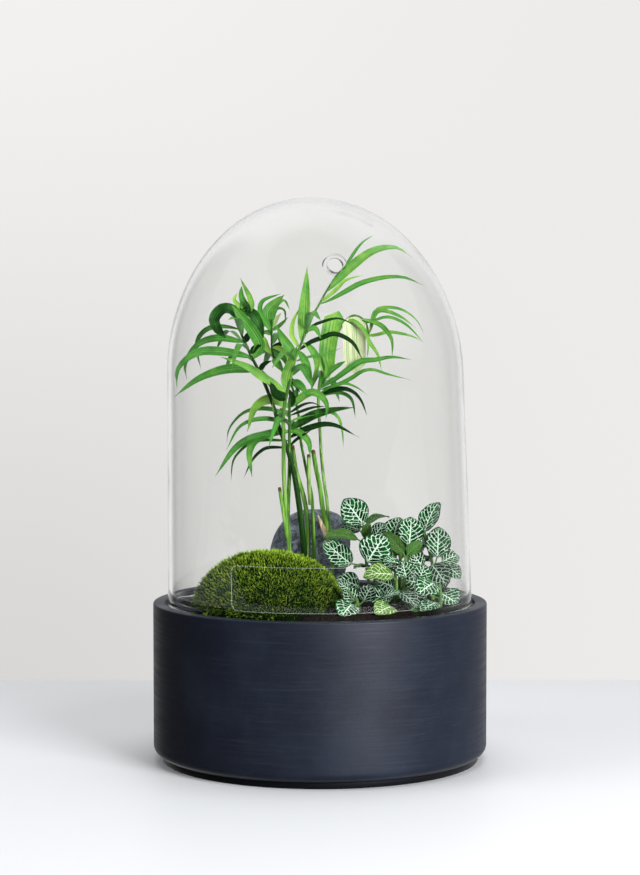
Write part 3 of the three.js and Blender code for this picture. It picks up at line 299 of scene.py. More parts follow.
# Each nerve-plant stem: its foot and its line above the soil, then its leaves, each from a height
# on the stem to the blade's root and tip, with width, tilt, yaw and kind.
NERVES = {
    "nerve_1": ([(40, -8), (38, -9, 140), (31, -11, 169)], [
        (166, (31, -12, 170), (17, -8, 188), 19, 75, 0, "netted"),
        (165, (33, -9, 170), (50, 2, 175), 10, 10, 0, "under"),
        (158, (32, -13, 160), (35, -14, 172), 7, 60, 0, "young"),
        (160, (29, -4, 165), (14, 4, 168), 14, 50, 0, "dark"),
    ]),
    "nerve_2": ([(36, -32), (33, -34, 140), (32, -27, 160)], [
        (143, (22, -38, 144), (2, -42, 162), 15, 75, -20, "netted"),
        (158, (27, -25, 161), (3, -30, 163), 12, 30, 0, "young"),
        (138, (33, -41, 146), (46, -38, 165), 22, 70, 0, "netted"),
        (157, (38, -25, 162), (46, -21, 172), 10, 60, 0, "dark"),
        (125, (28, -36, 128), (11, -37, 134), 14, 55, 0, "netted"),
    ]),
    "nerve_3": ([(56, -16), (57, -18, 140), (57, -19, 157)], [
        (154, (52, -15, 159), (57, -9, 175), 16, 70, -10, "netted"),
        (149, (63, -23, 156), (65, -16, 176), 18, 70, 10, "netted"),
        (138, (52, -24, 142), (38, -23, 150), 15, 60, 0, "netted"),
        (127, (51, -17, 130), (37, -21, 138), 15, 60, 0, "dark"),
    ]),
    "nerve_4": ([(58, -38), (59, -40, 135), (60, -43, 150)], [
        (148, (59, -41, 152), (46, -33, 167), 9, 60, -30, "young"),
        (147, (61, -43, 152), (71, -41, 161), 8, 60, 30, "young"),
        (127, (60, -50, 136), (57, -48, 148), 13, 60, 0, "netted"),
        (126, (69, -47, 133), (73, -44, 145), 13, 70, 0, "netted"),
        (141, (57, -47, 145), (43, -52, 148), 13, 20, 0, "netted"),
        (124, (52, -41, 128), (38, -46, 134), 15, 60, 0, "dark"),
    ]),
    "nerve_5": ([(78, -2), (81, -4, 138), (75, -4, 161)], [
        (158, (75, -4, 164), (86, 4, 185), 15, 60, -30, "netted"),
        (136, (84, -11, 146), (85, -5, 168), 17, 75, 0, "netted"),
        (138, (88, 0, 142), (101, 6, 146), 13, 50, 0, "netted"),
        (133, (93, 3, 138), (102, 1, 130), 10, 60, 0, "netted"),
        (126, (73, -8, 130), (61, -6, 140), 16, 65, 0, "dark"),
    ]),
    "nerve_6": ([(80, -24), (80, -23, 130), (78, -22, 141)], [
        (139, (79, -27, 143), (89, -33, 128), 17, 70, 10, "dark"),
        (137, (72, -32, 142), (64, -30, 152), 11, 60, 0, "netted"),
        (121, (86, -21, 122), (98, -26, 112), 17, 50, 0, "netted"),
        (126, (71, -25, 129), (58, -28, 132), 14, 60, 0, "netted"),
    ]),
    "nerve_7": ([(84, -46), (84, -46, 122), (83, -47, 131)], [
        (128, (79, -53, 133), (67, -66, 126), 17, 60, 0, "netted"),
        (117, (81, -50, 118), (69, -70, 113), 13, 50, 0, "netted"),
        (121, (75, -46, 124), (65, -50, 128), 12, 60, 0, "netted"),
    ]),
    "nerve_8": ([(52, -56), (53, -56, 126), (53, -56, 136)], [
        (133, (51, -57, 139), (30, -64, 139), 16, 40, 0, "yellow"),
        (126, (54, -64, 128), (67, -77, 118), 16, 40, 30, "dark"),
        (122, (44, -58, 123), (29, -60, 125), 13, 50, 0, "netted"),
        (125, (56, -61, 124), (68, -70, 110), 7, 40, 0, "under"),
        (126, (50, -62, 126), (38, -71, 114), 7, 40, 0, "netted"),
    ]),
    "nerve_9": ([(26, -68), (26, -69, 120), (25, -70, 124)], [
        (120, (22, -77, 121), (14, -93, 113), 17, 65, 0, "netted"),
        (122, (20, -69, 130), (12, -72, 136), 7, 60, 0, "netted"),
        (118, (24, -66, 121), (16, -66, 131), 11, 55, 0, "netted"),
        (119, (30, -64, 121), (36, -61, 133), 12, 60, 0, "dark"),
    ]),
    "nerve_10": ([(46, -70), (46, -71, 117), (46, -72, 120)], [
        (117, (49, -77, 119), (38, -92, 115), 16, 45, 0, "yellow"),
        (119, (43, -73, 125), (55, -78, 130), 7, 50, 0, "netted"),
    ]),
}
# Stems behind: x, y, top, turn, pairs of leaves.
BACK_STEMS = [(45, 27, 152, 25, 3), (64, 21, 154, 80, 2), (72, 33, 146, 20, 2),
              (56, 42, 149, 60, 2), (60, 52, 138, 100, 2)]
# Drop from the tip of the stem, length, width, rise in radians.
PAIRS = [(0, 19, 16, 0.7), (-11, 20, 17, 0.4), (-22, 18, 15, 0.2)]
# Shade and strength of the white net, for each kind of nerve leaf.
NERVE_KINDS = {"netted": (0, 1), "dark": (-0.8, 0.5), "yellow": (0.8, 1), "under": (0.3, 0.15),
               "young": (0.45, 0.12)}


# ---------------------------------------------------------------- sizes and colours of the panel
def length(name, description, default):
    return bpy.props.FloatProperty(name=name, description=description, default=default,
                                   min=0.0, unit="LENGTH", precision=4)


def colour(name, description, default):
    return bpy.props.FloatVectorProperty(name=name, description=description, default=default,
                                         size=3, min=0.0, max=1.0, subtype="COLOR")


class TerrariumVessel(bpy.types.PropertyGroup):
    """Sizes and colours of the bowl, the dome and the label film."""
    bowl_radius: length("Bowl radius", "Outer radius of the bowl", 0.120)
    bowl_top: length("Bowl height", "Height of the bowl's rim above the table", 0.1138)
    clay: colour("Clay", "Colour of the fired clay", (0.0098, 0.0138, 0.0275))
    clay_worn: colour("Clay, lighter", "Colour of the clay where it was turned thin",
                      (0.0165, 0.0230, 0.0420))
    glass: colour("Glass", "Tint of the glass", (0.990, 0.992, 0.990))


class TerrariumGround(bpy.types.PropertyGroup):
    """Colours and counts of the soil, gravel, stone and moss."""
    soil: colour("Soil", "Colour of the damp potting soil", (0.007, 0.005, 0.004))
    crumbs: bpy.props.IntProperty(name="Soil crumbs", description="Crumbs lying on the soil",
                                  default=2600, min=0)
    stone: colour("Stone", "Main colour of the river stone", (0.105, 0.125, 0.155))
    shoots: bpy.props.IntProperty(name="Moss shoots", description="Shoots on the moss cushion",
                                  default=6000, min=0)
    shoot: length("Moss shoot", "Length of a moss shoot", 0.0040)
    moss_tip: colour("Moss tips", "Colour of the shoots' tips", (0.56, 0.86, 0.06))
    # Painted shade: the moss body and the shoots' feet take this dark colour between the shoots.
    moss_gap_shade: colour("Moss gaps", "Colour between the shoots", (0.003, 0.012, 0.001))


class TerrariumPlants(bpy.types.PropertyGroup):
    """Colours of the palm seedlings and the nerve plant."""
    # The deep green also serves as painted shade on leaflets set dark where the clump shades them.
    palm_deep: colour("Palm, deep", "Deep green of older leaflets", (0.002, 0.030, 0.002))
    palm_mid: colour("Palm, mid", "Green of most leaflets", (0.060, 0.285, 0.030))
    palm_fresh: colour("Palm, fresh", "Yellow green of young leaflets", (0.34, 0.62, 0.085))
    palm_cream: colour("Palm, cream", "Cream of the bleached leaflet", (0.66, 0.72, 0.42))
    nerve_deep: colour("Nerve leaf", "Green between the veins", (0.001, 0.028, 0.006))
    nerve_vein: colour("Nerve veins", "Colour of the vein net", (0.76, 0.98, 0.78))
    laterals: bpy.props.FloatProperty(name="Side veins", default=7.6, min=1.0,
                                      description="Side veins on each half of a 27 mm nerve leaf")


class TerrariumStage(bpy.types.PropertyGroup):
    """The floor, backdrop and lights of the picture."""
    floor: colour("Floor", "Colour of the floor", (0.735, 0.748, 0.772))
    wall: colour("Backdrop", "Colour behind the object", (0.80, 0.79, 0.775))
    key: bpy.props.FloatProperty(name="Key light", description="Power of the main softbox",
                                 default=36.0, min=0.0, unit="POWER")


GROUPS = {"terrarium_vessel": TerrariumVessel, "terrarium_ground": TerrariumGround,
          "terrarium_plants": TerrariumPlants, "terrarium_stage": TerrariumStage}


# ---------------------------------------------------------------- small helpers
def mix(a, b, s):
    return a + (b - a) * s


def smooth_step(x, low, high):
    s = min(max((x - low) / (high - low), 0.0), 1.0)
    return s * s * (3 - 2 * s)


def arc(r, z, radius, start, end, steps):
    """Points of an arc in a profile, from one angle to another in degrees."""
    turns = [math.radians(mix(start, end, i / steps)) for i in range(steps + 1)]
    return [(r + radius * math.cos(a), z + radius * math.sin(a)) for a in turns]


def soil_height(x, y):
    inward = BOWL["cavity"] - math.hypot(x, y)
    return SOIL["edge"] + SOIL["heap"] * smooth_step(inward, 0, SOIL["slope"]) \
        * smooth_step(x, -40, 50)


def ripple(x, y, z, size, seed=0.0):
    """A smooth value from -1 to 1, with hills about one size across."""
    return noise.noise(Vector((x / size + seed, y / size - seed, z / size + 0.5 * seed)))


class Line:
    """A smooth line through points, in millimetres, from 0 at its first to 1 at its last."""

    def __init__(self, points):
        self.points = [Vector(p) for p in points]

    def at(self, share):
        p = self.points
        place = (len(p) - 1) * min(max(share, 0.0), 1.0)
        i = min(int(place), len(p) - 2)
        w = place - i
        p1, p2 = p[i], p[i + 1]
        p0 = p[i - 1] if i else 2 * p[0] - p[1]
        p3 = p[i + 2] if i + 2 < len(p) else 2 * p[-1] - p[-2]
        d0, d1, d2 = (max((b - a).length_squared, 1e-8) ** 0.25
                      for a, b in ((p0, p1), (p1, p2), (p2, p3)))
        m1 = ((p1 - p0) / d0 - (p2 - p0) / (d0 + d1) + (p2 - p1) / d1) * d1
        m2 = ((p2 - p1) / d1 - (p3 - p1) / (d1 + d2) + (p3 - p2) / d2) * d1
        return (p1 + m1 * w + (3 * (p2 - p1) - 2 * m1 - m2) * w * w
                + (2 * (p1 - p2) + m1 + m2) * w ** 3)

    def tangent(self, share):
        a, b = max(share - 1e-3, 0.0), min(share + 1e-3, 1.0)
        return (self.at(b) - self.at(a)).normalized()


def at_height(points, height):
    """The point of a stem's line at a height."""
    for a, b in zip(points, points[1:]):
        if a[2] <= height <= b[2]:
            s = (height - a[2]) / max(b[2] - a[2], 1e-6)
            return tuple(mix(u, v, s) for u, v in zip(a, b))
    return points[-1]


def facing(tilt, yaw=0.0):
    """Which way a blade's upper face looks: 0 is straight up, 90 is level towards -Y."""
    f, y = math.radians(tilt), math.radians(yaw)
    return Vector((math.sin(f) * math.sin(y), -math.sin(f) * math.cos(y), math.cos(f)))


class Skin:
    """Points, faces and marks of one piece while it is built, in millimetres. A point's marks are
    the two of its UV, its shade (on the label film its distance from the edge), 1 on a stalk or a
    nerve leaf's length in decimetres, and the strength of the white net, or 1 on a palm leaf's
    under face and on a cut stalk."""

    def __init__(self):
        self.points, self.faces, self.marks = [], [], []

    def add(self, points, faces, marks=None):
        """Adds a closed shell, turned so that it faces outwards."""
        first = len(self.points)
        volume = 0.0
        for f in faces:
            a = points[f[0]]
            for b, c in zip(f[1:], f[2:]):
                volume += a.dot(points[b].cross(points[c]))
        self.points += points
        self.marks += marks or [(0.0, 0.0, 0.0, 0.0, 0.0)] * len(points)
        for f in faces:
            f = [first + i for i in f]
            self.faces.append(f if volume > 0 else f[::-1])

    def mesh(self, name, crisp=45):
        """The mesh, in metres, with a UV map "leaf" and its marks as attributes."""
        made = bpy.data.meshes.new(name)
        made.from_pydata([p * MM for p in self.points], [], self.faces)
        marks = np.array(self.marks, np.float32)
        corner = np.zeros(len(made.loops), np.int32)
        made.loops.foreach_get("vertex_index", corner)
        layer = made.uv_layers.new(name="leaf")
        layer.uv.foreach_set("vector", marks[corner, :2].ravel())
        for i, mark in enumerate(("shade", "stalk", "net")):
            values = made.attributes.new(mark, "FLOAT", "POINT")
            values.data.foreach_set("value", marks[:, i + 2])
        made.shade_smooth()
        made.set_sharp_from_angle(angle=math.radians(crisp))
        made.validate()
        return made


def ring_faces(rings, sides):
    """Faces between rings of points that stand one after another."""
    faces = []
    for low in range(0, (rings - 1) * sides, sides):
        for j in range(sides):
            k = (j + 1) % sides
            faces.append([low + j, low + k, low + sides + k, low + sides + j])
    return faces


def blade(skin, columns, rows, place, shade, net=None, long=0.0):
    """A thin closed blade: place(u, v, under) gives a point of its upper or under face. Without a
    net its under face is marked."""
    points, marks, faces = [], [], []
    for under in (0, 1):
        for i in range(rows + 1):
            for j in range(columns + 1):
                u, v = 2 * j / columns - 1, i / rows
                points.append(place(u, v, under))
                marks.append((0.5 + 0.5 * u, v, shade, long, under if net is None else net))
    wide, deep = columns + 1, (rows + 1) * (columns + 1)
    spot = lambda under, i, j: under * deep + i * wide + j
    edge = lambda i, j, p, q: [spot(0, i, j), spot(0, p, q), spot(1, p, q), spot(1, i, j)]
    for i in range(rows):
        for j in range(columns):
            faces.append([spot(0, i, j), spot(0, i, j + 1), spot(0, i + 1, j + 1),
                          spot(0, i + 1, j)])
            faces.append([spot(1, i + 1, j), spot(1, i + 1, j + 1), spot(1, i, j + 1),
                          spot(1, i, j)])
        for j, turn in ((0, 1), (columns, -1)):
            faces.append(edge(i, j, i + 1, j)[::turn])
    for i, turn in ((0, -1), (rows, 1)):
        for j in range(columns):
            faces.append(edge(i, j, i, j + 1)[::turn])
    skin.add(points, faces, marks)


def stalk(skin, line, radius, steps, sides, shade=0.0, cut_end=0.0):
    """A round stalk along a line: radius(share) in millimetres. A cut end has dried brown."""
    points, marks = [], []
    across = line.tangent(0).orthogonal().normalized()
    for i in range(steps + 1):
        s = i / steps
        centre, along = line.at(s), line.tangent(s)
        across = (across - along * across.dot(along)).normalized()
        other = along.cross(across)
        for j in range(sides):
            a = 2 * math.pi * j / sides
            points.append(centre + radius(s) * (across * math.cos(a) + other * math.sin(a)))
            marks.append((abs(2 * j / sides - 1), s, shade, 1.0, cut_end))
    faces = ring_faces(steps + 1, sides)
    for share, ring, turn in ((0.0, 0, 1), (1.0, steps * sides, -1)):
        tip = len(points)
        step = 0.45 * radius(share)
        points.append(line.at(share) + line.tangent(share) * step * (2 * share - 1))
        marks.append((0.5, share, shade, 1.0, cut_end))
        for j in range(sides):
            faces.append([tip, ring + (j + 1) % sides, ring + j][::turn])
    skin.add(points, faces, marks)


def turned_skin(profile, sides, shift=None):
    """A closed shell turned about Z from a profile that starts and ends on the axis, or, where it
    doesn't touch the axis, from a profile that closes on itself."""
    points, rings = [], []
    for r, z in profile:
        x = shift(z) if shift else 0.0
        if r < 1e-6:
            rings.append([len(points)] * sides)
            points.append(Vector((x, 0, z)))
            continue
        rings.append(list(range(len(points), len(points) + sides)))
        for j in range(sides):
            a = 2 * math.pi * j / sides
            points.append(Vector((x + r * math.cos(a), r * math.sin(a), z)))
    if profile[0][0] > 1e-6:
        rings.append(rings[0])
    faces = []
    for low, high in zip(rings, rings[1:]):
        for j in range(sides):
            k = (j + 1) % sides
            face = [low[j], low[k], high[k], high[j]]
            faces.append([v for n, v in enumerate(face) if v not in face[:n]])
    skin = Skin()
    skin.add(points, faces)
    return skin


def stand(name, mesh, material, slot, *nodes):
    """The mesh as a piece of the object, in place of the named nodes."""
    made = bpy.data.objects.new(name, mesh)
    bpy.context.scene.collection.objects.link(made)
    mesh.materials.clear()
    mesh.materials.append(material)
    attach(made, "root")
    if nodes:
        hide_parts(*nodes)


def cut(mesh, operand, operation):
    """The mesh joined with or cut by another, as a new mesh."""
    scene = bpy.context.scene.collection.objects
    pair = [bpy.data.objects.new("work", m) for m in (mesh, operand)]
    for o in pair:
        scene.link(o)
    step = pair[0].modifiers.new("work", "BOOLEAN")
    step.operation, step.object, step.solver = operation, pair[1], "EXACT"
    graph = bpy.context.evaluated_depsgraph_get()
    made = bpy.data.meshes.new_from_object(pair[0].evaluated_get(graph))
    for o in pair:
        bpy.data.objects.remove(o)
    return made


# ---------------------------------------------------------------- node helpers
def put(tree, socket, value):
    if isinstance(value, bpy.types.NodeSocket):
        tree.links.new(value, socket)
    elif value is not None:
        socket.default_value = value


def node(tree, kind, inputs=None, **settings):
    made = tree.nodes.new(kind)
    for key, value in settings.items():
        setattr(made, key, value)
    for key, value in (inputs or {}).items():
        put(tree, made.inputs[key], value)
    return made


def calc(tree, operation, a, b=None, c=None, clamp=False):
    made = node(tree, "ShaderNodeMath", operation=operation, use_clamp=clamp)
    for socket, value in zip(made.inputs, (a, b, c)):
        put(tree, socket, value)
    return made.outputs[0]


def blend(tree, share, a, b):
    made = node(tree, "ShaderNodeMix", data_type="RGBA")
    put(tree, made.inputs[0], share)
    for slot, value in ((6, a), (7, b)):
        put(tree, made.inputs[slot], value if isinstance(value, bpy.types.NodeSocket)
            else (*tuple(value)[:3], 1.0))
    return made.outputs[2]


def coated(tree, base, *coats):
    """A base colour under coats, each given as its share and its colour."""
    for share, colour_over in coats:
        base = blend(tree, share, base, colour_over)
    return base


def between(tree, value, low, high, start=0.0, end=1.0):
    """Runs smoothly from start to end as the value goes from low to high."""
    made = node(tree, "ShaderNodeMapRange", {
        "From Min": low, "From Max": high, "To Min": start, "To Max": end, "Value": value},
        interpolation_type="SMOOTHSTEP")
    return made.outputs[0]


def own_place(tree):
    return node(tree, "ShaderNodeTexCoord").outputs["Object"]


def axes_of(tree, vector):
    return node(tree, "ShaderNodeSeparateXYZ", {"Vector": vector}).outputs


def grain(tree, size, detail=2.0, rough=0.5, stretch=(1, 1, 1)):
    """A noise on the piece's own place, its hills about one size across, in millimetres."""
    place = node(tree, "ShaderNodeMapping", {"Vector": own_place(tree), "Scale": stretch})
    made = node(tree, "ShaderNodeTexNoise", {
        "Vector": place.outputs[0], "Scale": 1 / (size * MM), "Detail": detail,
        "Roughness": rough})
    return made.outputs["Fac"]


def start_finish(name):
    material = bpy.data.materials.new(name)
    material.use_nodes = True
    tree = material.node_tree
    tree.nodes.clear()
    out = node(tree, "ShaderNodeOutputMaterial")
    return material, tree, out


def surface(tree, out, **inputs):
    """A Principled shader as the surface, its inputs named as on the node."""
    shader = node(tree, "ShaderNodeBsdfPrincipled")
    for key, value in inputs.items():
        socket = shader.inputs[key.replace("_", " ")]
        if isinstance(value, tuple) and len(value) == 3 and len(socket.default_value) == 4:
            value = (*value, 1.0)
        put(tree, socket, value)
    tree.links.new(shader.outputs[0], out.inputs["Surface"])


def bumped(tree, height, distance):
    made = node(tree, "ShaderNodeBump", {"Height": height, "Distance": distance * MM})
    return made.outputs[0]


def mark(tree, name):
    return node(tree, "ShaderNodeAttribute", attribute_name=name).outputs["Fac"]


# ---------------------------------------------------------------- finishes
def clay_finish():
    """Near-black fired clay, satin, with the faint streaks left by turning, and painted shade near
    black on the recessed foot.
    """
    look = bpy.context.scene.terrarium_vessel
    material, tree, out = start_finish("turned clay")
    streaks = grain(tree, 1.5, 3, 0.6, (0.035, 0.035, 1))
    cloud = grain(tree, 42, 3, 0.5)
    tooth = grain(tree, 0.5, 2, 0.6)
    level = axes_of(tree, own_place(tree))[2]
    base = coated(
        tree, look.clay,
        (between(tree, cloud, 0.35, 0.75), look.clay_worn),
        (between(tree, streaks, 0.52, 0.8, 0, 0.22), TINTS["clay streak"]),
        (between(tree, tooth, 0.35, 0.6, 0.35, 0), TINTS["clay pore"]),
        # Painted shade: the recessed foot, below about 4.5 mm, is painted near black.
        (between(tree, level, 0.0043, 0.0049, 0.85, 0), TINTS["clay foot painted shade"]))
    height = calc(tree, "ADD", calc(tree, "MULTIPLY", streaks, 0.6), calc(
        tree, "MULTIPLY", tooth, 0.4))
    surface(tree, out, Base_Color=base, Roughness=between(tree, streaks, 0.3, 0.75, 0.44, 0.56),
            Specular_IOR_Level=0.30, Normal=bumped(tree, height, 0.10))
    return material


def glass_finish():
    """Clear blown glass that lets light through to the plants."""
    look = bpy.context.scene.terrarium_vessel
    material, tree, out = start_finish("blown glass")
    waves = bumped(tree, grain(tree, 60, 1, 0.3), 0.25)
    glass = node(tree, "ShaderNodeBsdfGlass", {
        "Color": (*look.glass, 1.0), "Roughness": 0.0, "IOR": 1.36, "Normal": waves})
    clear = node(tree, "ShaderNodeBsdfTransparent", {"Color": TINTS["glass shadow"]})
    rays = node(tree, "ShaderNodeLightPath")
    both = node(tree, "ShaderNodeMixShader", {0: rays.outputs["Is Shadow Ray"]})
    tree.links.new(glass.outputs[0], both.inputs[1])
    tree.links.new(clear.outputs[0], both.inputs[2])
    tree.links.new(both.outputs[0], out.inputs["Surface"])
    return material


def film_finish():
    """Clear film with a pale cut edge."""
    material, tree, out = start_finish("clear film")
    inward = mark(tree, "shade")
    edge = between(tree, inward, 0.05, 0.30, 0.26, 0.0)
    sheen = calc(tree, "MULTIPLY", between(tree, grain(tree, 14, 2), 0.4, 0.8), 0.006)
    tint = blend(tree, between(tree, inward, 0.3, 0.6), TINTS["film edge"], TINTS["film"])
    surface(tree, out, Base_Color=tint, Roughness=0.3, Specular_IOR_Level=0.2,
            Alpha=calc(tree, "ADD", calc(tree, "ADD", edge, sheen), 0.004))
    return material


def soil_finish():
    """Damp dark potting soil with clumps and paler flecks."""
    look = bpy.context.scene.terrarium_ground
    material, tree, out = start_finish("potting soil")
    clump = grain(tree, 3.2, 4, 0.65)
    fleck = grain(tree, 0.7, 2, 0.6)
    base = coated(
        tree, look.soil,
        (between(tree, clump, 0.35, 0.7), TINTS["soil clump"]),
        (between(tree, fleck, 0.66, 0.74, 0, 0.6), TINTS["soil fleck"]))
    surface(tree, out, Base_Color=base, Roughness=between(tree, clump, 0.3, 0.7, 0.7, 0.95),
            Specular_IOR_Level=0.15, Normal=bumped(tree, clump, 0.6))
    return material


def gravel_finish():
    """Round fired-clay pebbles with a dusty skin, and painted shade in the gaps between them."""
    material, tree, out = start_finish("drainage pebbles")
    spread = {"Vector": own_place(tree), "Scale": 120.0}
    cells = node(tree, "ShaderNodeTexVoronoi", spread)
    gaps = node(tree, "ShaderNodeTexVoronoi", spread, feature="DISTANCE_TO_EDGE")
    hue = node(tree, "ShaderNodeSeparateColor", {"Color": cells.outputs["Color"]}).outputs[0]
    base = coated(
        tree, TINTS["pebble"],
        (hue, TINTS["brown pebble"]),
        (between(tree, grain(tree, 1.1, 3), 0.5, 0.75, 0, 0.5), TINTS["pebble dust"]),
        # Painted shade: dark in the gaps along the cell edges between pebbles.
        (between(tree, gaps.outputs["Distance"], 0.0, 0.12, 1, 0), TINTS["pebble gap painted shade"]))
    surface(tree, out, Base_Color=base, Roughness=0.9,
            Normal=bumped(tree, gaps.outputs["Distance"], 4.0))
    return material


def stone_finish():
    """River-worn stone: dark blue grey with pale bloom and fine speckles."""
    look = bpy.context.scene.terrarium_ground
    material, tree, out = start_finish("river stone")
    bloom = grain(tree, 16, 4, 0.6)
    mottle = grain(tree, 3.4, 4, 0.65)
    fine = grain(tree, 0.8, 2, 0.6)
    base = coated(
        tree, look.stone,
        (between(tree, bloom, 0.38, 0.66), TINTS["stone bloom"]),
        (between(tree, mottle, 0.42, 0.58, 0.85, 0), TINTS["stone mottle"]),
        (between(tree, fine, 0.58, 0.70, 0, 0.6), TINTS["stone speckle"]))
    surface(tree, out, Base_Color=base, Roughness=between(tree, mottle, 0.3, 0.7, 0.6, 0.85),
            Normal=bumped(tree, calc(tree, "ADD", mottle, fine), 0.25))
    return material


def moss_finish():
    """Moss: bright tips over gaps painted dark as shade, painted light on top, painted shade low down,
    olive at its left foot.
    """
    look = bpy.context.scene.terrarium_ground
    material, tree, out = start_finish("cushion moss")
    place = axes_of(tree, own_place(tree))
    tip, shade = mark(tree, "tip"), mark(tree, "shade")
    patch = grain(tree, 17, 3, 0.55)
    left = between(tree, place[0], -0.055, -0.09)
    low = between(tree, place[2], 0.140, 0.112)
    old = calc(tree, "MULTIPLY", calc(tree, "MULTIPLY", left, low), between(
        tree, patch, 0.40, 0.70, 0, 0.35), clamp=True)
    olive = blend(tree, between(tree, shade, 0.3, 0.8), TINTS["moss olive"], TINTS["moss straw"])
    # The tips' colour: real tones, with painted light on top and painted shade low down.
    fresh = coated(
        tree, look.moss_tip,
        (between(tree, patch, 0.36, 0.66), TINTS["moss patch"]),
        (between(tree, shade, 0.72, 1.0), TINTS["moss bright shoot"]),
        # Painted light: lighter towards the cushion's top.
        (between(tree, place[2], 0.128, 0.152, 0, 0.6), TINTS["moss top painted light"]),
        (between(tree, shade, 0.0, 0.42, 0.9, 0), TINTS["moss dim shoot"]),
        (old, olive),
        # Painted shade: darker towards the cushion's foot.
        (between(tree, place[2], 0.134, 0.112, 0, 0.55), TINTS["moss foot painted shade"]))
    # Painted shade between the shoots: dark towards each shoot's foot and on the body beneath.
    base = blend(tree, between(tree, tip, 0.34, 1.0), look.moss_gap_shade, fresh)
    surface(tree, out, Base_Color=base, Roughness=0.8, Specular_IOR_Level=0.04)
    return material


def palm_finish():
    """Palm leaf and stalk: fine veins along the blade, a pale keel, satin on top."""
    look = bpy.context.scene.terrarium_plants
    material, tree, out = start_finish("palm leaf")
    uv = node(tree, "ShaderNodeUVMap", uv_map="leaf").outputs[0]
    leaf = axes_of(tree, uv)
    across = calc(tree, "ABSOLUTE", calc(tree, "MULTIPLY_ADD", leaf[0], 2.0, -1.0))
    shade, stem, under = mark(tree, "shade"), mark(tree, "stalk"), mark(tree, "net")
    veins = node(tree, "ShaderNodeTexNoise", {"Vector": node(tree, "ShaderNodeMapping", {
        "Vector": uv, "Scale": (26.0, 0.7, 1.0)}).outputs[0], "Scale": 1.0, "Detail": 2.0})
    lines = veins.outputs["Fac"]
    patch = grain(tree, 9, 3, 0.6)
    level = calc(tree, "ADD", shade, calc(tree, "MULTIPLY_ADD", patch, 1.5, -0.85))
    under_face = blend(tree, between(tree, level, -0.8, 0.6), TINTS["palm under, deep"],
                       TINTS["palm under, pale"])
    base = coated(
        tree, look.palm_deep,
        (between(tree, level, -1.0, 0.1), look.palm_mid),
        (between(tree, level, 0.0, 1.1), look.palm_fresh),
        (calc(tree, "MULTIPLY", under, 0.6), under_face),
        (between(tree, shade, 1.3, 2.0), look.palm_cream))
    # Pale lines and the keel fade on dark leaves.
    pale = between(tree, level, -0.9, 0.2, 0.12, 1.0)
    pale_line = calc(tree, "MULTIPLY", pale, between(tree, lines, 0.52, 0.70, 0, 0.5))
    base = blend(tree, pale_line, base, blend(tree, 0.5, base, TINTS["palm pale line"]))
    dark_line = between(tree, lines, 0.34, 0.48, 0.7, 0)
    base = blend(tree, dark_line, base, blend(tree, 0.75, base, TINTS["palm dark line"]))
    keel = calc(tree, "MULTIPLY", pale, between(tree, across, 0.02, 0.10, 0.55, 0))
    base = blend(tree, keel, base, TINTS["palm keel"])
    # Stalks: yellow green low down, deep green towards the leaves, with dark and pale lines along them,
    # partly the sheaths' edges and partly painted shade and highlight.
    height = axes_of(tree, own_place(tree))[2]
    streak = grain(tree, 1.5, 2, 0.6, (1, 1, 0.035))
    bark = coated(
        tree, TINTS["stalk foot"],
        (between(tree, height, 0.18, 0.27), TINTS["stalk top"]),
        (between(tree, shade, 0.0, 1.0), TINTS["pale stalk"]),
        (between(tree, shade, 0.0, -1.0), TINTS["deep stalk"]))
    # Dark lines along the stalk, partly painted shade.
    dark_line_and_shade = between(tree, streak, 0.44, 0.56, 0.75, 0)
    bark = blend(tree, dark_line_and_shade, bark, blend(tree, 0.8, bark, TINTS["stalk dark line and painted shade"]))
    cut_end = calc(tree, "MULTIPLY", under, between(tree, leaf[1], 0.93, 0.97))
    bark = coated(
        tree, bark,
        # Pale lines along the stalk, partly painted highlight.
        (between(tree, streak, 0.58, 0.68, 0, 0.6), TINTS["stalk pale line and painted highlight"]),
        (cut_end, TINTS["cut end"]))
    base = blend(tree, between(tree, stem, 0.4, 0.6), base, bark)
    rough = between(tree, lines, 0.3, 0.7, 0.34, 0.46)
    surface(tree, out, Base_Color=base, Roughness=rough, Specular_IOR_Level=0.12,
            Normal=bumped(tree, lines, 0.12))
    return material


def sheath_finish():
    """The papery dry leaf base."""
    material, tree, out = start_finish("dry sheath")
    fibres = grain(tree, 0.9, 3, 0.6, (1, 1, 0.06))
    base = blend(tree, between(tree, fibres, 0.35, 0.65), TINTS["sheath"], TINTS["sheath fibre"])
    surface(tree, out, Base_Color=base, Roughness=0.7, Normal=bumped(tree, fibres, 0.2))
    return material


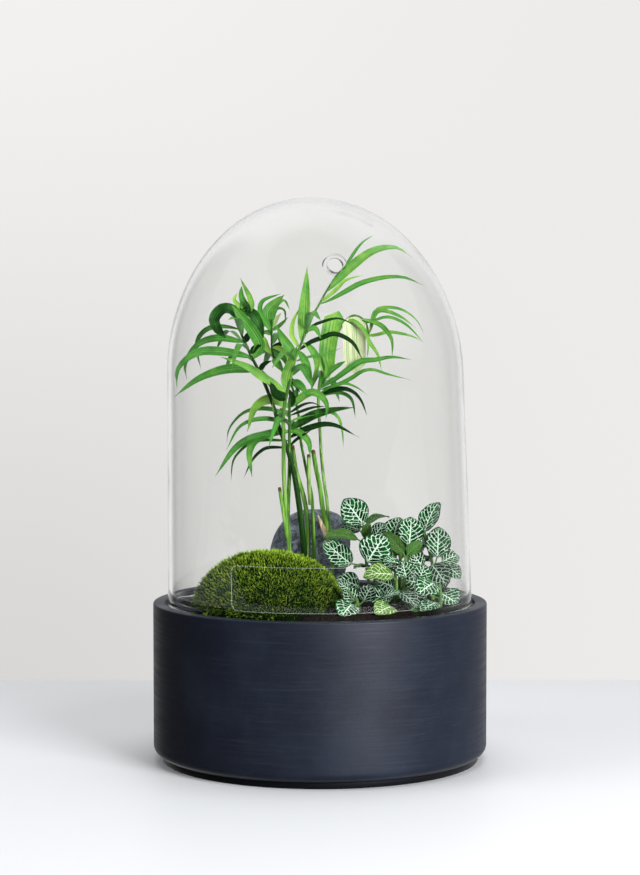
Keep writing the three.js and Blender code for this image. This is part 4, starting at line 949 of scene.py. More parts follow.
def nerve_finish():
    """Nerve-plant leaf: dark green panels between a white net of veins."""
    look = bpy.context.scene.terrarium_plants
    material, tree, out = start_finish("nerve leaf")
    leaf = axes_of(tree, node(tree, "ShaderNodeUVMap", uv_map="leaf").outputs[0])
    side = calc(tree, "MULTIPLY_ADD", leaf[0], 2.0, -1.0)
    across = calc(tree, "ABSOLUTE", side)
    half = calc(tree, "SIGN", side)
    shade, stem, net = mark(tree, "shade"), mark(tree, "stalk"), mark(tree, "net")
    # Side veins run from the keel towards the tip, curving as they near the margin.
    sweep = calc(tree, "MULTIPLY", calc(tree, "POWER", across, 1.2), 0.36)
    count = calc(tree, "MULTIPLY", calc(tree, "MULTIPLY_ADD", stem, 2.4, 0.36), look.laterals)
    row = calc(tree, "MULTIPLY", calc(tree, "SUBTRACT", leaf[1], sweep), count)
    row = calc(tree, "ADD", row, calc(tree, "MULTIPLY", half, 0.2))
    wobble = calc(tree, "MULTIPLY_ADD", grain(tree, 2.6, 1), 0.8, -0.4)
    row = calc(tree, "ADD", row, wobble)
    within = calc(tree, "FRACT", row)
    from_side = calc(tree, "ABSOLUTE", calc(tree, "SUBTRACT", within, 0.5))
    side_vein = between(tree, from_side, 0.375, 0.435)
    # Between two of them, slanting veins close long cells, each row shifted by its own lot.
    lot = node(tree, "ShaderNodeTexWhiteNoise", {"Vector": node(
        tree, "ShaderNodeCombineXYZ", {0: calc(tree, "FLOOR", row), 1: half}).outputs[0]})
    link = calc(tree, "ADD", calc(tree, "MULTIPLY_ADD", across, 2.1, lot.outputs[0]), calc(
        tree, "MULTIPLY", within, 0.55))
    from_link = calc(tree, "ABSOLUTE", calc(tree, "SUBTRACT", calc(tree, "FRACT", link), 0.5))
    fine_vein = between(tree, from_link, 0.425, 0.485, 0, 0.8)
    keel = between(tree, calc(tree, "ADD", across, calc(
        tree, "MULTIPLY", leaf[1], 0.02)), 0.03, 0.08, 1, 0)
    veins = calc(tree, "MAXIMUM", calc(tree, "MAXIMUM", side_vein, fine_vein), keel)
    inside = between(tree, across, 0.88, 0.97, 1, 0)
    inside = calc(tree, "MULTIPLY", inside, between(tree, leaf[1], 0.93, 0.98, 1, 0))
    white = calc(tree, "MULTIPLY", calc(tree, "MULTIPLY", veins, inside), net, clamp=True)
    patch = grain(tree, 7, 2, 0.5)
    pale = blend(tree, between(tree, shade, 0.2, 0.9, 0, 0.7), look.nerve_vein,
                 TINTS["young nerve vein"])
    bark = blend(tree, between(tree, patch, 0.4, 0.6), TINTS["nerve stem"],
                 TINTS["nerve stem patch"])
    base = coated(
        tree, look.nerve_deep,
        (between(tree, patch, 0.35, 0.7), TINTS["nerve panel"]),
        (between(tree, shade, 0.0, 0.9), TINTS["young nerve panel"]),
        (between(tree, shade, 0.0, -0.7), TINTS["dark nerve panel"]),
        (white, pale),
        (between(tree, stem, 0.4, 0.6), bark))
    swell = calc(tree, "SUBTRACT", 1.0, calc(tree, "MULTIPLY", veins, net))
    surface(tree, out, Base_Color=base, Roughness=between(tree, veins, 0, 1, 0.42, 0.55),
            Specular_IOR_Level=0.05, Normal=bumped(tree, swell, 0.3))
    return material


def floor_finish():
    look = bpy.context.scene.terrarium_stage
    material, tree, out = start_finish("pale floor")
    cloud = grain(tree, 700, 2)
    base = blend(tree, between(tree, cloud, 0.3, 0.7), look.floor,
                 tuple(0.985 * c for c in look.floor))
    surface(tree, out, Base_Color=base, Roughness=0.5, Specular_IOR_Level=0.2)
    return material


# ---------------------------------------------------------------- bowl and its filling
def make_bowl():
    look = bpy.context.scene.terrarium_vessel
    r, top = look.bowl_radius / MM, look.bowl_top / MM
    foot, belly, lip = BOWL["foot"], BOWL["belly"], BOWL["lip"]
    mouth, cavity, floor = BOWL["mouth"], BOWL["cavity"], BOWL["floor"]
    recess, fillet, ease = BOWL["recess"], BOWL["fillet"], BOWL["ease"]
    profile = [
        (0, recess), (60, recess), *BOWL["slope"], (foot - 0.4, 0), (foot, 0.4),
        (foot, BOWL["foot_height"]), *arc(r - belly, BOWL["belly_height"], belly, -76, 0, 12),
        (r, 30), (r, 60), (r, 90), *arc(r - lip, top - lip, lip, 0, 90, 7),
        *arc(mouth + lip, top - lip, lip, 90, 180, 7), (mouth, LEDGE + ease),
        (mouth - ease, LEDGE), (cavity + ease, LEDGE), (cavity, LEDGE - ease), (cavity, 60),
        *arc(cavity - fillet, floor + fillet, fillet, 0, -90, 8), (40, floor), (0, floor)]
    mesh = turned_skin(profile, 224).mesh("turned_bowl", 50)
    stand("turned_bowl", mesh, clay_finish(), "bowl", "bowl")


def scatter_tree(name):
    """Geometry nodes that strew a small shape over a surface, tipped towards its normal."""
    tree = bpy.data.node_groups.new(name, "GeometryNodeTree")
    made = tree.interface.new_socket
    for socket, kind, default in (
            ("Surface", "NodeSocketGeometry", None), ("Piece", "NodeSocketObject", None),
            ("Count", "NodeSocketInt", 1000), ("Spacing", "NodeSocketFloat", 0.001),
            ("Smallest", "NodeSocketFloat", 0.6), ("Largest", "NodeSocketFloat", 1.2),
            ("Upright", "NodeSocketFloat", 0.5), ("Lean", "NodeSocketFloat", 0.5),
            ("Seed", "NodeSocketInt", 1), ("Finish", "NodeSocketMaterial", None)):
        item = made(socket, in_out="INPUT", socket_type=kind)
        if default is not None:
            item.default_value = default
    made("Strewn", in_out="OUTPUT", socket_type="NodeSocketGeometry")
    given = node(tree, "NodeGroupInput").outputs
    area = node(tree, "GeometryNodeAttributeStatistic", {
        "Geometry": given["Surface"],
        "Attribute": node(tree, "GeometryNodeInputMeshFaceArea").outputs[0]}, domain="FACE")
    density = calc(tree, "DIVIDE", given["Count"], area.outputs["Sum"])
    grow = node(tree, "GeometryNodeInputNamedAttribute", {"Name": "grow"}, data_type="FLOAT")
    spots = node(tree, "GeometryNodeDistributePointsOnFaces", {
        "Mesh": given["Surface"], "Distance Min": given["Spacing"],
        "Density Max": calc(tree, "MULTIPLY", density, 3.0),
        "Density Factor": grow.outputs["Attribute"], "Seed": given["Seed"]},
        distribute_method="POISSON")

    def anywhere(seed, low, high):
        made = node(tree, "FunctionNodeRandomValue", {
            "Min": low, "Max": high, "Seed": calc(tree, "ADD", given["Seed"], seed)},
            data_type="FLOAT_VECTOR")
        return made.outputs["Value"]

    def vector(operation, *values):
        made = node(tree, "ShaderNodeVectorMath", operation=operation)
        for slot, value in zip((0, 3) if operation == "SCALE" else (0, 1), values):
            put(tree, made.inputs[slot], value)
        return made.outputs[0]

    def one(seed, low, high):
        made = node(tree, "FunctionNodeRandomValue", {
            "Seed": calc(tree, "ADD", given["Seed"], seed)}, data_type="FLOAT")
        put(tree, made.inputs[2], low)
        put(tree, made.inputs[3], high)
        return made.outputs[1]

    way = vector("ADD", spots.outputs["Normal"], vector(
        "SCALE", (0.0, 0.0, 1.0), given["Upright"]))
    way = vector("ADD", way, vector("SCALE", anywhere(1, (-1, -1, -1), (1, 1, 1)),
                                    given["Lean"]))
    turn = node(tree, "FunctionNodeAlignRotationToVector", {"Vector": way}, axis="Z")
    spin = node(tree, "FunctionNodeAxisAngleToRotation", {
        "Axis": (0.0, 0.0, 1.0), "Angle": one(2, 0.0, 6.2832)})
    turned = node(tree, "FunctionNodeRotateRotation", {
        0: turn.outputs[0], 1: spin.outputs[0]}, rotation_space="LOCAL")
    shape = node(tree, "GeometryNodeObjectInfo", {
        "Object": given["Piece"], "As Instance": True})
    strewn = node(tree, "GeometryNodeInstanceOnPoints", {
        "Points": spots.outputs["Points"], "Instance": shape.outputs["Geometry"],
        "Rotation": turned.outputs[0],
        "Scale": one(3, given["Smallest"], given["Largest"])})
    toned = node(tree, "GeometryNodeStoreNamedAttribute", {
        "Geometry": strewn.outputs[0], "Name": "shade", "Value": one(4, 0.0, 1.0)},
        data_type="FLOAT", domain="INSTANCE")
    real = node(tree, "GeometryNodeRealizeInstances", {"Geometry": toned.outputs[0]})
    last = node(tree, "GeometryNodeSetMaterial", {
        "Geometry": real.outputs[0], "Material": given["Finish"]})
    end = node(tree, "NodeGroupOutput")
    tree.links.new(last.outputs[0], end.inputs[0])
    return tree


def strew(bed_mesh, shape_mesh, name, material, slot, **values):
    """Runs the geometry nodes over a bed and keeps the result as a plain mesh piece."""
    objects = bpy.context.scene.collection.objects
    bed = bpy.data.objects.new("work bed", bed_mesh)
    shape = bpy.data.objects.new("work shape", shape_mesh)
    objects.link(bed)
    objects.link(shape)
    step = bed.modifiers.new("strew", "NODES")
    step.node_group = tree = scatter_tree(name.replace("_", " "))
    sockets = {i.name: i.identifier for i in tree.interface.items_tree
               if i.item_type == "SOCKET" and i.in_out == "INPUT"}
    for key, value in {**values, "Piece": shape, "Finish": material}.items():
        step[sockets[key]] = value
    graph = bpy.context.evaluated_depsgraph_get()
    made = bpy.data.meshes.new_from_object(bed.evaluated_get(graph))
    made.name = name
    for o in (bed, shape):
        bpy.data.objects.remove(o)
    if "grow" in made.attributes:
        made.attributes.remove(made.attributes["grow"])
    stand(name, made, material, slot)


def make_filling():
    look = bpy.context.scene.terrarium_ground
    pebbles = gravel_finish()
    for slot in frame["nodes"]["drainage_gravel"].material_slots:
        slot.material = pebbles
    # Soil: a clumpy top over the plain body that fills the bowl.
    sides, rings = 220, 64
    wall, base = SOIL["wall"], SOIL["base"]
    turns = [2 * math.pi * j / sides for j in range(sides)]
    points = []
    for i in range(1, rings + 1):
        r = wall * (i / rings) ** 0.8
        for a in turns:
            x, y = r * math.cos(a), r * math.sin(a)
            rough = 0.55 * ripple(x, y, 0, 7, 3) + 0.4 * ripple(x, y, 0, 2.6, 9)
            points.append(Vector((x, y, soil_height(x, y) + rough - 0.35)))
    faces = ring_faces(rings, sides)
    rim, foot = (rings - 1) * sides, len(points)
    points += [Vector((wall * math.cos(a), wall * math.sin(a), base)) for a in turns]
    crown, under = len(points), len(points) + 1
    points += [Vector((0, 0, soil_height(0, 0) - 0.3)), Vector((0, 0, base))]
    for j in range(sides):
        k = (j + 1) % sides
        faces.append([rim + j, rim + k, foot + k, foot + j])
        faces.append([crown, k, j])
        faces.append([under, foot + j, foot + k])
    skin = Skin()
    skin.add(points, faces)
    soil = soil_finish()
    mesh = skin.mesh("potting_soil", 60)
    bed = mesh.copy()
    stand("potting_soil", mesh, soil, "soil", "soil")
    # Crumbs lie on the top only, clear of the dome.
    grow = bed.attributes.new("grow", "FLOAT", "POINT")
    grow.data.foreach_set("value", [
        1.0 if p.z > 105 and math.hypot(p.x, p.y) < 100.5 else 0.0 for p in points])
    strew(bed, crumb_shape(), "soil_crumbs", soil, "soil", Count=look.crumbs * 3, Spacing=0.0012,
          Smallest=0.35, Largest=1.5, Upright=0.0, Lean=1.0, Seed=5)


def crumb_shape():
    """A rough little lump, about two millimetres across at size one."""
    t = (1 + 5 ** 0.5) / 2
    corners = [Vector(c).normalized() for c in (
        (-1, t, 0), (1, t, 0), (-1, -t, 0), (1, -t, 0), (0, -1, t), (0, 1, t), (0, -1, -t),
        (0, 1, -t), (t, 0, -1), (t, 0, 1), (-t, 0, -1), (-t, 0, 1))]
    faces = [(0, 11, 5), (0, 5, 1), (0, 1, 7), (0, 7, 10), (0, 10, 11), (1, 5, 9), (5, 11, 4),
             (11, 10, 2), (10, 7, 6), (7, 1, 8), (3, 9, 4), (3, 4, 2), (3, 2, 6), (3, 6, 8),
             (3, 8, 9), (4, 9, 5), (2, 4, 11), (6, 2, 10), (8, 6, 7), (9, 8, 1)]
    mesh = bpy.data.meshes.new("crumb")
    mesh.from_pydata([MM * 0.9 * c * (1 + 0.5 * noise.noise(2.3 * c)) for c in corners], [],
                     faces)
    return mesh


# ---------------------------------------------------------------- dome and label film
def dome_shift(z):
    return DOME["lean"] * (z - LEDGE)


def dome_radius(z, inset=0.0):
    if z <= DOME["shoulder_height"]:
        share = (z - LEDGE) / (DOME["shoulder_height"] - LEDGE)
        return mix(DOME["base"], DOME["shoulder"], share) - inset
    rise = (z - DOME["shoulder_height"]) / (DOME["top"] - DOME["shoulder_height"])
    return (DOME["shoulder"] - inset) * math.sqrt(max(0.0, 1 - rise * rise))


def dome_skin(inset, crown_inset, foot):
    rise = DOME["top"] - crown_inset - DOME["shoulder_height"]
    wall = [mix(foot, DOME["shoulder_height"], i / 24) for i in range(24)]
    skin = [(dome_radius(z, inset), z) for z in wall]
    for i in range(41):
        a = 0.5 * math.pi * i / 40
        skin.append(((DOME["shoulder"] - inset) * math.cos(a) if i < 40 else 0.0,
                     DOME["shoulder_height"] + rise * math.sin(a)))
    return skin


def make_dome():
    foot = LEDGE + SEAT_GAP
    bead_out = dome_radius(foot) + 0.4
    bead_in = dome_radius(foot, DOME["wall"]) - DOME["bead"]
    half = 0.5 * (bead_out - bead_in)
    bead = arc(bead_in + half, foot + half, half, -180, 0, 16)
    outer = dome_skin(0, 0, foot + DOME["bead_height"])
    inner = dome_skin(DOME["wall"], DOME["crown"], foot + DOME["bead_height"])
    # The wall swells smoothly into the bead.
    neck_out = [(mix(bead[-1][0], outer[0][0], smooth_step(s, 0, 1)),
                 mix(bead[-1][1], outer[0][1], s)) for s in (0.25, 0.5, 0.75)]
    neck_in = [(mix(inner[0][0], bead[0][0], smooth_step(s, 0, 1)),
                mix(inner[0][1], bead[0][1], s)) for s in (0.25, 0.5, 0.75)]
    sides = 224
    profile = outer[::-1] + neck_out[::-1] + bead[::-1] + neck_in[::-1] + inner
    shell = turned_skin(profile, sides, dome_shift).mesh("shell")
    turn, rise = math.radians(VENT["turn"]), math.radians(VENT["rise"])
    radius = dome_radius(VENT["height"], 0.5 * DOME["wall"])
    out = Vector((math.cos(rise) * math.sin(turn), math.cos(rise) * math.cos(turn),
                  math.sin(rise)))
    at = Vector((radius * math.sin(turn) + dome_shift(VENT["height"]),
                 radius * math.cos(turn), VENT["height"]))
    aim = Matrix.Translation(at * MM) @ out.to_track_quat("Z", "Y").to_matrix().to_4x4()
    ring = VENT["hole"] + VENT["lip"]
    lip = [(ring + VENT["lip"] * math.cos(a), VENT["lip_height"] * math.sin(a))
           for a in (2 * math.pi * i / 20 for i in range(20))]
    collar = turned_skin(lip, 64).mesh("collar")
    plug = turned_skin([(0, -10), (VENT["hole"], -10), (VENT["hole"], 10), (0, 10)], 64).mesh("plug")
    for mesh in (collar, plug):
        mesh.transform(aim)
    mesh = cut(cut(shell, collar, "UNION"), plug, "DIFFERENCE")
    mesh.name = "blown_dome"
    mesh.shade_smooth()
    mesh.set_sharp_from_angle(angle=math.radians(40))
    stand("blown_dome", mesh, glass_finish(), "clear_glass", "glass_dome")


def make_label():
    """Clear film with round corners, bare, wrapped on the front of the dome."""
    inner = DOME["base"] + SEAT_GAP
    width = math.radians(LABEL["to"] - LABEL["from"]) * inner
    tall, corner = LABEL["height"], LABEL["corner"]
    # Points crowd together near the edges and the round corners.
    near = [0.0, 0.06, 0.2, 0.4, 0.65, 0.9, 1.3, 1.8, 2.5, 3.3, 4.2, 5.2]
    columns = near + [mix(near[-1], width - near[-1], i / 40) for i in range(1, 40)] \
        + [width - n for n in near[::-1]]
    rows = [0.0, 0.25, 0.55, 0.85, 1.3]

    def edge(u):
        into = max(0.0, corner - min(u, width - u))
        return corner - math.sqrt(max(0.0, corner ** 2 - into ** 2))

    def inward(u, w):
        p, q = min(u, width - u), min(w, tall - w)
        if p < corner and q < corner:
            return corner - math.hypot(corner - p, corner - q)
        return min(p, q)

    def place(u, w, depth):
        a = math.radians(LABEL["from"]) + u / inner
        radius, z = inner + depth, LABEL["bottom"] + w
        return Vector((radius * math.sin(a) + dome_shift(z), -radius * math.cos(a), z))

    points, marks, faces = [], [], []
    for depth in (0.0, LABEL["thick"]):
        for u in columns:
            low = min(edge(u), 0.49 * tall)
            high = tall - low
            levels = [low + r for r in rows] + [high - r for r in rows]
            levels += [mix(low + rows[-1], high - rows[-1], i / 6) for i in range(1, 6)]
            for w in sorted(min(max(w, low), high) for w in levels):
                points.append(place(u, w, depth))
                marks.append((u / width, w / tall, inward(u, w), 0.0, 0.0))
    per_column = 2 * len(rows) + 5
    deep = len(columns) * per_column
    spot = lambda outer, i, j: outer * deep + i * per_column + j
    side = lambda i, j, p, q: [spot(0, i, j), spot(0, p, q), spot(1, p, q), spot(1, i, j)]
    for i in range(len(columns) - 1):
        for j in range(per_column - 1):
            faces.append([spot(1, i, j), spot(1, i + 1, j), spot(1, i + 1, j + 1),
                          spot(1, i, j + 1)])
            faces.append([spot(0, i, j + 1), spot(0, i + 1, j + 1), spot(0, i + 1, j),
                          spot(0, i, j)])
        for j, turn in ((0, 1), (per_column - 1, -1)):
            faces.append(side(i, j, i + 1, j)[::turn])
    for i, turn in ((0, -1), (len(columns) - 1, 1)):
        for j in range(per_column - 1):
            faces.append(side(i, j, i, j + 1)[::turn])
    skin = Skin()
    skin.add(points, faces, marks)
    stand("bare_label_film", skin.mesh("bare_label_film"), film_finish(), "clear_film",
          "label_film")


# ---------------------------------------------------------------- stone and moss
def make_stone():
    at, half = STONE["at"], STONE["half"]
    sides, rings = 120, 72
    points, faces = [], []
    for i in range(rings + 1):
        f = math.pi * i / rings
        for j in range(1 if i in (0, rings) else sides):
            a = 2 * math.pi * j / sides
            x, y, z = math.sin(f) * math.cos(a), math.sin(f) * math.sin(a), math.cos(f)
            square = (abs(x) ** 2.6 + abs(y) ** 2.3 + abs(z) ** 2.5) ** -0.4
            swell = 1 + 0.035 * math.sin(2.1 * x + 1.3 * z + 0.7) \
                + 0.03 * math.sin(3.1 * z - 2 * y)
            worn = 1 + 0.012 * ripple(x, y, z, 0.35, 2) + 0.004 * ripple(x, y, z, 0.09, 5)
            k = square * swell * (0.992 * worn)
            points.append(Vector((at[0] + x * k * half[0] + 8 * z, at[1] + y * k * half[1],
                                  at[2] + z * k * half[2] * (0.955 if z > 0 else 1))))
    ring = lambda i, j: 0 if i == 0 else 1 + (i - 1) * sides + (j % sides) \
        if i < rings else len(points) - 1
    for i in range(rings):
        for j in range(sides):
            face = [ring(i, j), ring(i + 1, j), ring(i + 1, j + 1), ring(i, j + 1)]
            faces.append([v for n, v in enumerate(face) if v not in face[:n]])
    skin = Skin()
    skin.add(points, faces)
    stand("river_worn_stone", skin.mesh("river_worn_stone", 60), stone_finish(), "stone",
          "river_stone")


def make_moss():
    look = bpy.context.scene.terrarium_ground
    mid_x, mid_y = MOSS["at"]
    sides, rings = 200, 72
    turns = [2 * math.pi * j / sides for j in range(sides)]

    def reach(a):
        """How far the cushion goes one way, stopped short of the dome."""
        c, s = math.cos(a), math.sin(a)
        r = 1 / math.hypot(c / MOSS["half"][0], s / MOSS["half"][1])
        r *= 1 + 0.03 * math.sin(3 * a + 1) + 0.02 * math.sin(5 * a)
        while math.hypot(mid_x + r * c, mid_y + r * s) > MOSS["limit"] - 1.2:
            r -= 0.1
        return r - 0.8

    reaches = [reach(a) for a in turns]
    crest = SOIL["edge"] + 1
    points, grow = [], []
    for i in range(1, rings + 1):
        share = (i / rings) ** 0.72 if i < rings else 1.0
        for a, r in zip(turns, reaches):
            x, y = mid_x + r * share * math.cos(a), mid_y + r * share * math.sin(a)
            z = crest + MOSS["height"] * (1 - share ** 2.5) ** 0.62
            z += (0.9 * ripple(x, y, z, 9, 4) + 0.7 * ripple(x, y, z, 3.2, 8)) * (
                1 if share < 0.99 else 0.2)
            bed = soil_height(x, y) + SEAT_GAP + 0.3
            grow.append(1.0 if z > bed + 0.4 else 0.0)
            points.append(Vector((x, y, max(z, bed))))
    faces = ring_faces(rings, sides)
    rim, under = (rings - 1) * sides, len(points)
    for share in (1.0, 0.75, 0.5, 0.25):
        for a, r in zip(turns, reaches):
            x, y = mid_x + r * share * math.cos(a), mid_y + r * share * math.sin(a)
            points.append(Vector((x, y, soil_height(x, y) + SEAT_GAP)))
    for p in range(under, under + 3 * sides, sides):
        for j in range(sides):
            k = (j + 1) % sides
            faces.append([p + k, p + sides + k, p + sides + j, p + j])
    top, foot = len(points), len(points) + 1
    for j in range(sides):
        k = (j + 1) % sides
        faces.append([rim + j, rim + k, under + k, under + j])
        faces.append([top, k, j])
        faces.append([foot, under + 3 * sides + j, under + 3 * sides + k])
    points += [Vector((mid_x, mid_y, crest + MOSS["height"])),
               Vector((mid_x, mid_y, soil_height(mid_x, mid_y) + SEAT_GAP))]
    grow += [0.0] * (len(points) - len(grow))
    grow[top] = 1.0
    skin = Skin()
    skin.add(points, faces, [(0.0, 0.0, 0.5, 0.0, 0.0)] * len(points))
    mesh = skin.mesh("moss_body", 80)
    tips = mesh.attributes.new("tip", "FLOAT", "POINT")
    tips.data.foreach_set("value", [0.10] * len(points))
    bed = mesh.copy()
    finish = moss_finish()
    stand("moss_body", mesh, finish, "moss", "moss_cushion")
    bed.attributes.new("grow", "FLOAT", "POINT").data.foreach_set("value", grow)
    strew(bed, shoot_shape(look.shoot), "moss_shoots", finish, "moss", Count=look.shoots,
          Spacing=0.00110, Smallest=0.5, Largest=1.15, Upright=0.45, Lean=0.75, Seed=11)


def shoot_shape(tall):
    """A moss shoot: three narrow pointed leaves that spread from one foot."""
    points, faces, tips = [], [], []
    for n in range(3):
        a = 2 * math.pi * n / 3 + 0.4
        out = Vector((math.cos(a), math.sin(a), 0))
        side = Vector((-math.sin(a), math.cos(a), 0))
        first = len(points)
        points += [out * 0.04 * tall - side * 0.15 * tall - Vector((0, 0, 0.25 * tall)),
                   out * 0.04 * tall + side * 0.15 * tall - Vector((0, 0, 0.25 * tall)),
                   out * 0.30 * tall + Vector((0, 0, 0.38 * tall)),
                   out * (0.34 + 0.12 * n) * tall + Vector((0, 0, (1.0 - 0.13 * n) * tall))]
        tips += [0.0, 0.0, 0.45, 1.0]
        faces += [(first + a, first + b, first + c)
                  for a, b, c in ((0, 2, 1), (0, 1, 3), (1, 2, 3), (2, 0, 3))]
    mesh = bpy.data.meshes.new("shoot")
    mesh.from_pydata(points, [], faces)
    mesh.attributes.new("tip", "FLOAT", "POINT").data.foreach_set("value", tips)
    return mesh


# ---------------------------------------------------------------- palm seedlings
def leaflet(skin, root, bends, width, face, shade, blunt=0.0):
    """A leaflet, keeled along its middle, from its root through its bends to its tip: a lance, or,
    as far as it is blunt, a strap."""
    line = Line([root, *bends])
    spots = [line.at(i / 24) for i in range(25)]
    run = [0.0, *np.cumsum([(b - a).length for a, b in zip(spots, spots[1:])])]
    long, tip = run[-1], bends[-1]
    seed = 0.37 * tip[0] + 0.21 * tip[2]
    tilt = 0.35 * math.sin(seed)
    turn = 0.75 * math.sin(2.3 * seed + 0.6) * (1 - blunt)

    def place(u, v, under):
        s = 0.012 + 0.988 * v
        share = float(np.interp(s * long, run, np.linspace(0, 1, 25)))
        along = line.tangent(share)
        across = Matrix.Rotation(turn * (s - 0.25), 3, along) @ along.cross(face).normalized()
        out = across.cross(along).normalized()
        lance = 0.10 + 0.98 * math.sin(math.pi * min(1.0, s ** 0.76)) ** 0.95
        lance *= (1 - 0.30 * s) * (1 - smooth_step(s, 0.88, 1.0) * 0.92)
        strap = 0.2 + 0.8 * smooth_step(s, 0.0, 0.15) - 0.8 * smooth_step(s, 0.82, 1.0)
        wide = 0.5 * width * mix(lance, strap, blunt)
        fold = 0.24 * wide * abs(u) ** 1.15 - 0.16 * wide
        wave = 0.045 * width * abs(u) * math.sin(seed + 0.16 * long * s + (1.5 if u > 0 else 0))
        twist = tilt * u * wide * (s - 0.3)
        thick = 0.42 * (1 - 0.62 * abs(u)) * (1 - 0.5 * s)
        lift = fold + wave + twist - thick * under
        return line.at(share) + across * (u * wide) + out * lift

    blade(skin, 6, 16, place, shade)


def make_palms():
    leaf, dry = palm_finish(), sheath_finish()
    for name, stalks in PALMS.items():
        skin = Skin()
        for number, (line, radii, leaflets) in enumerate(stalks):
            points = list(line)
            if number == 0:
                x, y, z = points[0]
                ground = soil_height(x, y)
                points = [(x, y, ground - ROOT_DEPTH), (x, y, ground - 0.5 * ROOT_DEPTH),
                          (x, y, ground + 2), (x, y, z - 6)] + points
            shares = np.linspace(0, 1, len(radii))
            joints = [0.31 + 0.17 * n + 0.02 * number for n in range(4)]

            def radius(s):
                # A sheath wraps each length of the stalk and ends in a slight step.
                step = sum(0.06 * math.exp(-((s - j) / 0.008) ** 2) for j in joints)
                return 0.93 * float(np.interp(s, shares, radii)) * (1 + step)

            stalk(skin, Line(points), radius, 7 * (len(points) - 1), 12,
                  STALK_TONES[name, number], cut_end=0.0 if leaflets else 1.0)
            for start, bends, width, tilt, *look in leaflets:
                root = start if isinstance(start, tuple) else at_height(line, start)
                leaflet(skin, root, bends, width, facing(tilt), *look)
        stand(f"{name}_seedling", skin.mesh(f"{name}_seedling"), leaf, "palm", name)
    skin = Skin()
    root, crest, tip, width, tilt = SHEATH
    leaflet(skin, root, [crest, tip], width, facing(tilt), 0.0)
    stand("palm_5_dry_sheath", skin.mesh("palm_5_dry_sheath"), dry, "palm")


# ---------------------------------------------------------------- nerve plant
def nerve_leaf(skin, joint, root, tip, width, face, phase, kind):
    """A broad leaf on its stalk: cupped halves, waved edges and a recurved tip."""
    shade, net = NERVE_KINDS[kind]
    joint, a, b = Vector(joint), Vector(root), Vector(tip)
    long = (b - a).length
    along = (b - a).normalized()
    across = along.cross(face).normalized()
    out = across.cross(along).normalized()

    def place(u, v, under):
        wide = 0.54 * width * (math.sin(math.pi * min(0.9995, 0.0006 + v ** 0.84)) ** 0.66)
        centre = a.lerp(b, v) + out * (0.10 * long * math.sin(math.pi * v)
                                       - 0.05 * long * smooth_step(v, 0.8, 1.0))
        cup = 0.14 * wide * abs(u) ** 1.3 + 0.10 * wide * (abs(u) ** 0.5 - 0.6)
        wave = 0.030 * width * abs(u) ** 2 * math.sin(phase + 11 * v + (2 if u > 0 else 0))
        pleat = 0.012 * width * math.sin(2 * math.pi * 7 * (v - 0.33 * abs(u) ** 1.25)) \
            * abs(u) * (1 - u * u) * 4
        lift = cup + wave + pleat - (0.45 if under else 0.0) * (1 - 0.5 * abs(u))
        return centre + across * (u * wide) + out * lift

    blade(skin, 12, 18, place, shade, net, long / 100)
    bend = joint.lerp(a, 0.5) - out * 0.08 * (a - joint).length
    stalk(skin, Line([joint, bend, a + along * 1.2]), lambda s: 0.62 - 0.12 * s, 6, 7, shade)


def nerve_stem(skin, line, leaves, seed):
    x, y = line[0]
    ground = soil_height(x, y)
    points = [(x, y, ground - 0.6 * ROOT_DEPTH), (x, y, ground + 1.5), *line[1:]]
    stalk(skin, Line(points), lambda s: 1.4 - 0.4 * s, 5 * (len(points) - 1), 9)
    for i, (height, root, tip, width, tilt, yaw, kind) in enumerate(leaves):
        joint = at_height(points, height)
        nerve_leaf(skin, joint, root, tip, width, facing(tilt, yaw), seed + 1.7 * i, kind)


def make_nerves():
    leaf = nerve_finish()
    for seed, (name, (line, leaves)) in enumerate(NERVES.items()):
        skin = Skin()
        nerve_stem(skin, line, leaves, seed)
        stand(f"{name}_sprig", skin.mesh(f"{name}_sprig"), leaf, "nerve_leaf", name)
    skin = Skin()
    for seed, (x, y, top, turn, pairs) in enumerate(BACK_STEMS):
        leaves = []
        for level, (drop, long, width, rise) in enumerate(PAIRS[:pairs]):
            for half in (0, 180):
                way = turn + 90 * level + half
                a = math.radians(way)
                reach = lambda r, z: (x + r * math.cos(a), y + r * math.sin(a), top + drop + z)
                leaves.append((
                    top + drop - 1, reach(5, 2.5),
                    reach(5 + long * math.cos(rise), 2.5 + long * math.sin(rise)), width,
                    -0.6 * math.degrees(rise), way + 90,
                    "dark" if (seed + level) % 3 == 0 else "netted"))
        nerve_stem(skin, [(x, y), (x, y, 0.5 * (top + 120)), (x, y, top)], leaves, 20 + seed)
    stand("nerve_back_sprigs", skin.mesh("nerve_back_sprigs"), leaf, "nerve_leaf", "nerve_back")


# ---------------------------------------------------------------- stage
def softbox(name, at, aim, size, power):
    light = bpy.data.lights.new(name, "AREA")
    light.shape, light.size, light.size_y = "RECTANGLE", *size
    light.energy = power
    made = bpy.data.objects.new(name, light)
    made.location = at
    made.rotation_euler = (Vector(aim) - Vector(at)).to_track_quat("-Z", "Y").to_euler()
    bpy.context.scene.collection.objects.link(made)
    return made


